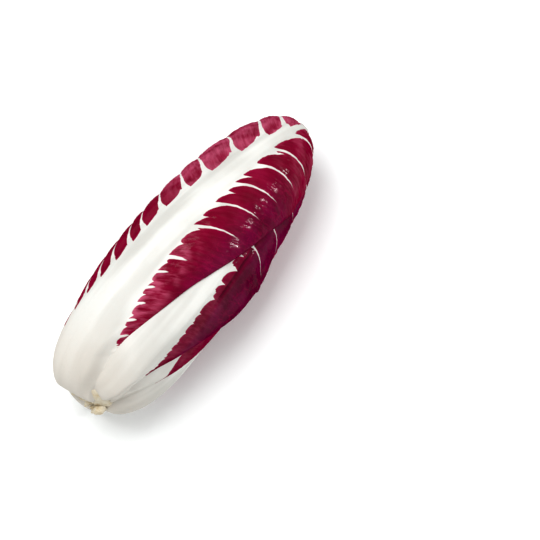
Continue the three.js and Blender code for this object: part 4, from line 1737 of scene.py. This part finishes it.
@dataclass
class LeafSheet:
    """One leaf as a closed sheet: rib, blade and veins in one piece."""

    nest: Nest
    index: int
    build: LeafBuild
    relief_clear: Span = (0.3, 5.0)  # how far from the leaves over it its relief comes up
    relief_in: Span = (-0.5, 1.5)  # and how far in from its outline
    frill_clear: Span = (2.0, 8.0)  # the same of the frill at its margin
    frill_in: Span = (0.0, 5.0)
    frill_over: Span = (0.5, 0.8)  # shares of its length between which the frill starts

    COARSE = 4  # steps of the outer face's net to one of the inner face's

    @property
    def leaf(self) -> Leaf:
        """Give the leaf."""
        return self.nest.leaves[self.index]

    def net(self) -> tuple[np.ndarray, np.ndarray]:
        """Lay out the leaf's net.

        Returns:
            Each point's share of the length, and its angle across.
        """
        shape = self.leaf.shape
        share = np.linspace(-shape.foot_past, self.build.blunt, shape.rows)[:, None]
        minus, plus = self.leaf.edges(share)
        step = np.linspace(0.0, 1.0, shape.columns)
        return np.broadcast_to(share, (shape.rows, shape.columns)), minus + (plus - minus) * step

    def gaps(self, place: Place, clear: np.ndarray) -> Gaps:
        """Measure from the points of the net.

        Args:
            place: Where they are on the leaf.
            clear: How far they are from the leaves over it.

        Returns:
            The distances.
        """
        minus, plus = self.leaf.edges(place.share)
        to_minus = (place.across - minus) * place.radius * place.scale
        to_plus = (plus - place.across) * place.radius * place.scale
        to_tip = (self.build.blunt - place.share) * self.leaf.spine_lengths[-1]
        return Gaps(to_minus, to_plus, to_tip, clear)

    def rim(self, gaps: Gaps, stalk: np.ndarray) -> np.ndarray:
        """Find how near the leaf's outline each point is.

        Args:
            gaps: The distances from it.
            stalk: Its share of stalk.

        Returns:
            0 on the outline and 1 where the sheet has its full thickness.
        """
        build = self.build
        width = build.margin_width + (build.stalk_margin_width - build.margin_width) * stalk
        covered = (1.0 - smoothstep(gaps.clear, *build.covered_over)) * stalk
        rim = np.clip(gaps.tip / width, 0.0, 1.0)
        for gap, edge in ((gaps.minus, covered[:, :1]), (gaps.plus, covered[:, -1:])):
            rim = np.minimum(rim, np.clip(gap / width, 0.0, 1.0) + edge)
        return np.minimum(rim, 1.0)

    def faces(self, place: Place, base: np.ndarray, gaps: Gaps) -> tuple[np.ndarray, np.ndarray]:
        """Find how deep the sheet's two faces lie.

        Args:
            place: Where the points are on the leaf.
            base: How deep the leaf lies there before its rib is added.
            gaps: The distances from its outline and from the leaves over it.

        Returns:
            The depths of the outer face and of the inner one.
        """
        leaf, build = self.leaf, self.build
        along = leaf.spine_at(place.share)
        stalk = 1.0 - smoothstep(along, *build.stalk_over)
        rim = self.rim(gaps, stalk)
        flank = build.rib_side * (1.0 - smoothstep(leaf.off_rib(place), *build.rib_side_over))
        skin = base - leaf.rib_rise(place) - flank
        inner = base + leaf.rib_dip(place) + build.blade
        full = inner - skin
        loose = smoothstep(along, *build.lift_comes) * (1.0 - smoothstep(along, *build.lift_goes))
        near_edge = 1.0 - smoothstep(gaps.plus, *build.lift_in)
        lift = leaf.shape.lift * loose * near_edge * smoothstep(gaps.clear, *build.lift_clear)
        margin = build.margin + (build.stalk_margin - build.margin) * stalk
        rounded, feathered = round_off(rim), smoothstep(rim, *build.feather)
        kept = margin + (full - margin) * (rounded + (feathered - rounded) * stalk)
        past_foot = along - leaf.spine_at(np.array(-leaf.shape.foot_past))
        foot = round_off(np.clip(past_foot / build.foot, 0.0, 1.0))
        kept = np.minimum(kept, full * (build.foot_end + (1.0 - build.foot_end) * foot))
        inner = inner - lift + build.tuck * stalk * (1.0 - smoothstep(rim, *build.tuck_over))
        return inner - kept, inner

    def mesh(self) -> bpy.types.Mesh:
        """Build the sheet.

        Returns:
            The mesh, with the leaf's numbers at its points.
        """
        leaf, step = self.leaf, self.COARSE
        share, across = self.net()
        n = leaf.to_sphere(share, across)
        place = leaf.from_sphere(n)
        place.share, place.across = share, across
        base, clear = self.nest.layers(self.index, n)
        gaps = self.gaps(place, clear)
        skin, inner = self.faces(place, base, gaps)
        outer_points = leaf.envelope.point(n, skin)
        inner_points = leaf.envelope.point(n[::step, ::step], inner[::step, ::step])
        points = np.concatenate([outer_points.reshape(-1, 3), inner_points.reshape(-1, 3)])
        mesh = mesh_from(leaf.shape.name, points, sheet_faces(*share.shape, step))

        edge_gap = np.minimum(np.minimum(gaps.minus, gaps.plus), gaps.tip)
        numbers = LeafNumbers(leaf, self.index).at(place, leaf.spine_at(share))
        numbers["exposure"] = smoothstep(clear, *self.relief_clear) * smoothstep(edge_gap, *self.relief_in)
        at_edge = smoothstep(clear, *self.frill_clear) * (1.0 - smoothstep(edge_gap, *self.frill_in))
        numbers["frill"] = at_edge * smoothstep(share, *self.frill_over)
        for name, values in numbers.items():
            values = np.broadcast_to(values, share.shape)
            inside = np.zeros_like(inner) if name == "exposure" else values
            store(mesh, name, np.concatenate([values.ravel(), inside[::step, ::step].ravel()]))
        return mesh


def press_on_table(mesh: bpy.types.Mesh) -> None:
    """Flatten whatever reaches below the table.

    Args:
        mesh: The mesh.
    """
    co = np.zeros(len(mesh.vertices) * 3, np.float32)
    mesh.vertices.foreach_get("co", co)
    co[2::3] = np.maximum(co[2::3], 0.0)
    mesh.vertices.foreach_set("co", co)
    mesh.update()


def hand_over(piece: bpy.types.Object, nodes: Sequence[str]) -> None:
    """Give a finished piece to the frame.

    Args:
        piece: The piece.
        nodes: The solids that it stands for.
    """
    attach(piece, BODY)
    if nodes:
        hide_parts(*nodes)
    LOG.info("%s: %d triangles", piece.name, triangle_count(piece.data))


@dataclass
class Leaves:
    """All the outer and inner leaves."""

    envelope: Envelope
    build: LeafBuild
    relief: LeafRelief
    finish: LeafFinish

    def make(self) -> list[bpy.types.Object]:
        """Build every leaf from the outermost in.

        Returns:
            The pieces.
        """
        shapes = OUTER_LEAVES + INNER_LEAVES
        nest = Nest([Leaf(shape, self.build, self.envelope) for shape in shapes], self.build)
        material = self.finish.material(LEAF_SKIN)
        pieces = []
        for index, shape in enumerate(shapes):
            piece = place_object(shape.name + "_sheet", LeafSheet(nest, index, self.build).mesh())
            self.relief.raise_on(piece, material)
            press_on_table(piece.data)
            outer = index < len(OUTER_LEAVES)
            nodes = [shape.name + "_rib", shape.name + "_blade"] if outer else [shape.name]
            hand_over(piece, nodes)
            pieces.append(piece)
        return pieces


@dataclass
class Heart:
    """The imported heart: three leaves on a core, as one closed skin, dressed as the leaves are."""

    envelope: Envelope
    build: LeafBuild
    first_depth: float = 19.0
    step: float = 1.3
    core_depth: float = 24.0
    foot: float = -39.4  # where the core stops above the stem
    step_over: float = 1.5  # distance in which one leaf steps down onto the next
    net: int = 96  # points round it and from end to end

    def make(self) -> bpy.types.Object:
        """Build the heart.

        Returns:
            The piece.
        """
        points, faces = sphere_net(self.net, self.net)
        n = points / np.linalg.norm(points, axis=1, keepdims=True)
        depth = np.full(len(n), self.core_depth)
        numbers: dict[str, np.ndarray] = {}
        for i, shape in enumerate(reversed(HEART_LEAVES)):
            leaf = Leaf(shape, self.build, self.envelope)
            place = leaf.from_sphere(n)
            on_leaf = 1.0 - smoothstep(leaf.outside(place), 0.0, self.step_over)
            back = self.first_depth + self.step * (len(HEART_LEAVES) - 1 - i) - leaf.rib_rise(place)
            depth = depth + (np.minimum(back, depth) - depth) * on_leaf
            along = leaf.spine_at(np.clip(place.share, 0.0, 1.0))
            for name, values in LeafNumbers(leaf, 0).at(place, along).items():
                numbers[name] = np.where(on_leaf > 0.5, values, numbers.get(name, values))
        placed = self.envelope.point(n, depth)
        placed[:, 0] = np.maximum(placed[:, 0], self.foot)
        mesh = mesh_from("heart", placed, faces)
        for name, values in numbers.items():
            store(mesh, name, values)
        mesh.materials.append(bpy.data.materials[LEAF_SKIN])
        piece = place_object("heart_packed", mesh)
        hand_over(piece, ["heart"])
        return piece


# ---- the cut stem


@dataclass
class Stem:
    """The cut stem, with the torn ends of leaves that were pulled off round it."""

    envelope: Envelope
    finish: StemFinish
    radius: float = 12.0
    lean: float = 6.0  # angle at which the cut slants, in degrees
    cut_back: float = 0.4  # from the head's end to the cut
    around: int = 96
    profile: tuple[tuple[float, float], ...] = (  # shares of the radius, and how far they lie behind the cut
        (0.12, 0.0), (0.3, 0.0), (0.5, 0.0), (0.7, 0.1), (0.88, 0.25), (0.98, 0.8), (1.08, 1.7), (1.24, 3.0),
        (1.46, 5.0), (1.5, 8.0), (1.3, 12.0), (0.6, 18.0), (0.48, 30.0), (0.32, 42.0), (0.1, 45.0),
    )
    waves: tuple[tuple[int, float], ...] = ((3, 0.05), (5, 0.045), (7, 0.03), (11, 0.02))  # counts and sizes
    rough: float = 0.16
    swell: float = 0.5
    rough_back: float = 6.0  # how far behind the cut its roughness ends
    stub_size: float = 2.2
    stub_proud: float = 0.4  # how far the stubs stand out of the cut
    stubs: tuple[tuple[float, ...], ...] = (  # for each, its angle, its share of the radius and its growth
        (180, 1.12, 2.5), (198, 0.98, 1.0), (182, 0.5, 1.6), (190, 0.8, 1.2), (222, 0.98, 0.9),
        (246, 1.0, 0.8), (272, 1.02, 1.0), (300, 0.98, 0.8), (322, 1.0, 1.0), (344, 0.98, 0.9), (6, 1.0, 0.8),
    )
    bundle_count: int = 13
    bundle_size: float = 0.8
    bundle_share: float = 0.55  # of the radius, where their ring lies
    lump: tuple[float, float, float] = (0.9, 0.55, 1.0)  # a chip's half sizes
    lump_rough: float = 0.09
    lump_net: tuple[int, int] = (12, 8)
    turns: tuple[tuple[float, ...], ...] = ((-1.2, -0.5, -0.5), (1.2, 0.5, 0.5))  # a chip's least and most
    sizes: tuple[tuple[float, ...], ...] = ((0.6, 0.6, 0.6), (1.05, 1.1, 1.25))
    in_or_out: float = 0.4  # how unevenly the chips stand out
    seed: int = 4

    TREE = "stem_chips"

    @property
    def slant(self) -> float:
        """Give how fast the cut falls back downwards."""
        return math.tan(math.radians(self.lean))

    @property
    def cut_x(self) -> float:
        """Give where the cut face lies."""
        return self.envelope.rest_behind - self.envelope.base_half - self.cut_back

    def stump(self) -> bpy.types.Mesh:
        """Build the stump: a rough cut face on a body that tapers inside the head.

        Returns:
            The mesh.
        """
        rng = np.random.default_rng(self.seed)
        turn = np.linspace(0.0, FULL_TURN, self.around, endpoint=False)
        waves = sum(size * np.sin(count * turn + rng.uniform(0.0, 6.28)) for count, size in self.waves)
        rings = []
        for share, back in self.profile:
            near_cut = max(1.0 - back / self.rough_back, 0.0)
            reach = self.radius * share * (1.0 + waves * near_cut)
            rough = rng.normal(0.0, self.rough, self.around) * near_cut
            swell = self.swell * np.sin(2.0 * turn + 1.0) * near_cut * share
            x = self.cut_x + back + rough + swell + self.slant * (self.radius - reach * np.sin(turn))
            z = self.envelope.axis_height + reach * np.sin(turn)
            rings.append(np.stack([x, reach * np.cos(turn), z], axis=-1))
        middle_x = self.cut_x + self.slant * self.radius
        ends = [[x, 0.0, self.envelope.axis_height] for x in (middle_x, middle_x + self.profile[-1][1])]
        return mesh_from("stem", np.concatenate([*rings, ends]), ring_faces(len(rings), self.around))

    def chip(self, name: str) -> bpy.types.Object:
        """Make the small ragged lump that is repeated round the stem.

        Args:
            name: Its name.

        Returns:
            An object that only the geometry tree uses.
        """
        rng = np.random.default_rng(self.seed + 1)
        points, faces = sphere_net(*self.lump_net)
        rough = 1.0 + rng.normal(0.0, self.lump_rough, (len(points), 1))
        return place_object(name, mesh_from(name, points * np.array(self.lump) * rough, faces))

    def chip_tree(self) -> bpy.types.NodeTree:
        """Build the tree that sets a chip on each point, each turned and sized a little differently.

        Returns:
            The tree.
        """
        wire, given = start_tree(self.TREE, {"Chip": "Object", "Size": "Float", "Seed": "Int"})
        turn, size = (
            wire.fill(
                wire.add("FunctionNodeRandomValue", data_type="FLOAT_VECTOR"),
                {"Min": least, "Max": most, "Seed": given.outputs["Seed"]},
            )
            for least, most in (self.turns, self.sizes)
        )
        grown = wire.scaled(size, wire.read("grow") * Value(wire, given.outputs["Size"]))
        info = wire.add("GeometryNodeObjectInfo")
        wire.join(info.inputs["Object"], given.outputs["Chip"])
        copies = wire.fill(wire.add("GeometryNodeInstanceOnPoints"), {
            "Points": given.outputs["Geometry"],
            "Instance": info.outputs["Geometry"],
            "Rotation": turn,
            "Scale": grown,
        })
        return end_tree(wire, given, copies)

    def chips(
        self, name: str, spots: Sequence[tuple[float, ...]], proud: float, **values: object
    ) -> bpy.types.Object:
        """Set chips on the cut.

        Args:
            name: The piece's name.
            spots: For each chip, its angle round the cut, its share of the radius and its growth.
            proud: How far they stand out of the cut.
            values: The tree's inputs.

        Returns:
            The piece.
        """
        rng = np.random.default_rng(self.seed + len(spots))
        turn, share, grow = np.array(spots, float).T
        out = self.radius * share
        y, z = out * np.cos(np.radians(turn)), out * np.sin(np.radians(turn))
        uneven = rng.uniform(-self.in_or_out, self.in_or_out, len(spots))
        x = self.cut_x + self.slant * (self.radius - z) - proud + uneven
        mesh = bpy.data.meshes.new(name)
        points = np.stack([x, y, z + self.envelope.axis_height], axis=-1)
        mesh.from_pydata((points * MM).tolist(), [], [])
        store(mesh, "grow", grow)
        piece = place_object(name, mesh)
        tree = bpy.data.node_groups.get(self.TREE) or self.chip_tree()
        run_tree(piece, tree, {"Seed": self.seed, **values})
        return piece

    def make(self) -> list[bpy.types.Object]:
        """Build the stem and what stands on it.

        Returns:
            The pieces.
        """
        material = self.finish.material("stem_cut")
        stump = place_object("stem_stump", self.stump())
        stump.data.materials.append(material)
        hand_over(stump, ["stem"])
        given = {"Chip": self.chip("stem_chip"), "Material": material}
        stubs = self.chips("stem_stubs", self.stubs, self.stub_proud, Size=self.stub_size, **given)
        turns = np.linspace(0.0, 360.0, self.bundle_count, endpoint=False)
        ring = [(turn, self.bundle_share, 1.0) for turn in turns]
        bundles = self.chips("stem_bundles", ring, 0.0, Size=self.bundle_size, **given)
        bpy.data.objects.remove(given["Chip"])
        for piece in (stubs, bundles):
            hand_over(piece, [])
        return [stump, stubs, bundles]


# ---- table, light and camera


@dataclass(frozen=True)
class SoftLight:
    """A square light that faces the head: where it hangs and its side, in millimetres, and its watts."""

    place: tuple[float, float, float]
    size: float
    power: float


@dataclass
class Studio:
    """A pale table, soft light and the camera."""

    azimuth: float = -52.3
    elevation: float = 73.0
    distance: float = 1200.0
    focal: float = 136.0
    sensor: float = 36.0
    target: tuple[float, float, float] = (6.5, 0.0, 40.0)
    frame_side: float = 540.0
    target_at: tuple[float, float] = (179.4, 273.7)  # where the target falls in the frame
    key_light: SoftLight = SoftLight((-60.0, 360.0, 1040.0), 700.0, 9.8)
    foot_light: SoftLight = SoftLight((-850.0, -150.0, 650.0), 600.0, 1.2)
    glint_light: SoftLight = SoftLight((550.0, -640.0, 530.0), 60.0, 2.8)
    sky: float = 0.5
    gamma: float = 0.82
    table_half: float = 3000.0
    table_top: float = -0.1

    def camera(self) -> bpy.types.Object:
        """Build the camera and make it the scene's.

        Returns:
            The camera.
        """
        a, e = math.radians(self.azimuth), math.radians(self.elevation)
        back = Vector((math.sin(a) * math.cos(e), -math.cos(a) * math.cos(e), math.sin(e)))
        right = Vector((math.cos(a), math.sin(a), 0.0))
        up = back.cross(right)
        pixels = self.focal / self.sensor * self.frame_side
        centre = self.frame_side / 2.0
        pan, tilt = (centre - self.target_at[0]) / pixels, (self.target_at[1] - centre) / pixels
        forward = (-back + right * pan + up * tilt).normalized()
        across = forward.cross(up).normalized()
        above = across.cross(forward)
        data = bpy.data.cameras.new("camera")
        data.lens, data.sensor_width = self.focal, self.sensor
        camera = place_object("camera", data)
        place = (Vector(self.target) + back * self.distance) * MM
        turn = Matrix((across, above, -forward)).transposed().to_4x4()
        camera.matrix_world = Matrix.Translation(place) @ turn
        bpy.context.scene.camera = camera
        return camera

    def hang(self, name: str, light: SoftLight) -> bpy.types.Object:
        """Hang one light.

        Args:
            name: Its name.
            light: The light.

        Returns:
            Its object.
        """
        data = bpy.data.lights.new(name, "AREA")
        data.shape, data.size, data.energy = "SQUARE", light.size * MM, light.power
        hung = place_object(name, data)
        here = Vector(light.place) * MM
        aim = Vector(self.target) * MM - here
        hung.matrix_world = Matrix.Translation(here) @ aim.to_track_quat("-Z", "Y").to_matrix().to_4x4()
        return hung

    def floor(self) -> bpy.types.Object:
        """Lay the table.

        Returns:
            Its top.
        """
        corners = ((-1, -1), (1, -1), (1, 1), (-1, 1))
        points = np.array([(x * self.table_half, y * self.table_half, self.table_top) for x, y in corners])
        mesh = bpy.data.meshes.new("table")
        mesh.from_pydata((points * MM).tolist(), [], [(0, 1, 2, 3)])
        mesh.materials.append(FloorFinish().material("table_pale"))
        floor = place_object("table", mesh)
        return floor

    def make(self) -> None:
        """Set up the table, the lights and the camera."""
        world = bpy.data.worlds.new("studio")
        world.use_nodes = True
        sky = world.node_tree.nodes["Background"]
        sky.inputs["Color"].default_value = (1.0, 1.0, 1.0, 1.0)
        sky.inputs["Strength"].default_value = self.sky
        scene = bpy.context.scene
        scene.world = world
        scene.view_settings.view_transform = "Standard"
        scene.view_settings.gamma = self.gamma
        for name in ("key_light", "foot_light", "glint_light"):
            self.hang(name, getattr(self, name))
        self.floor()
        self.camera()


def main() -> None:
    """Build the head in order, then the studio."""
    logging.basicConfig(level=logging.INFO, format="%(name)s: %(message)s")
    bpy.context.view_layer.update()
    low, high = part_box("stem")
    envelope = Envelope(axis_height=(low.z + high.z) / 2.0 / MM)
    build = LeafBuild()
    venation = Venation()
    Studio().make()
    Leaves(envelope, build, LeafRelief(venation), LeafFinish(venation)).make()
    Heart(envelope, build).make()
    Stem(envelope, StemFinish()).make()
    bpy.context.view_layer.update()
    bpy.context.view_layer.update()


if __name__ == "__main__":
    main()
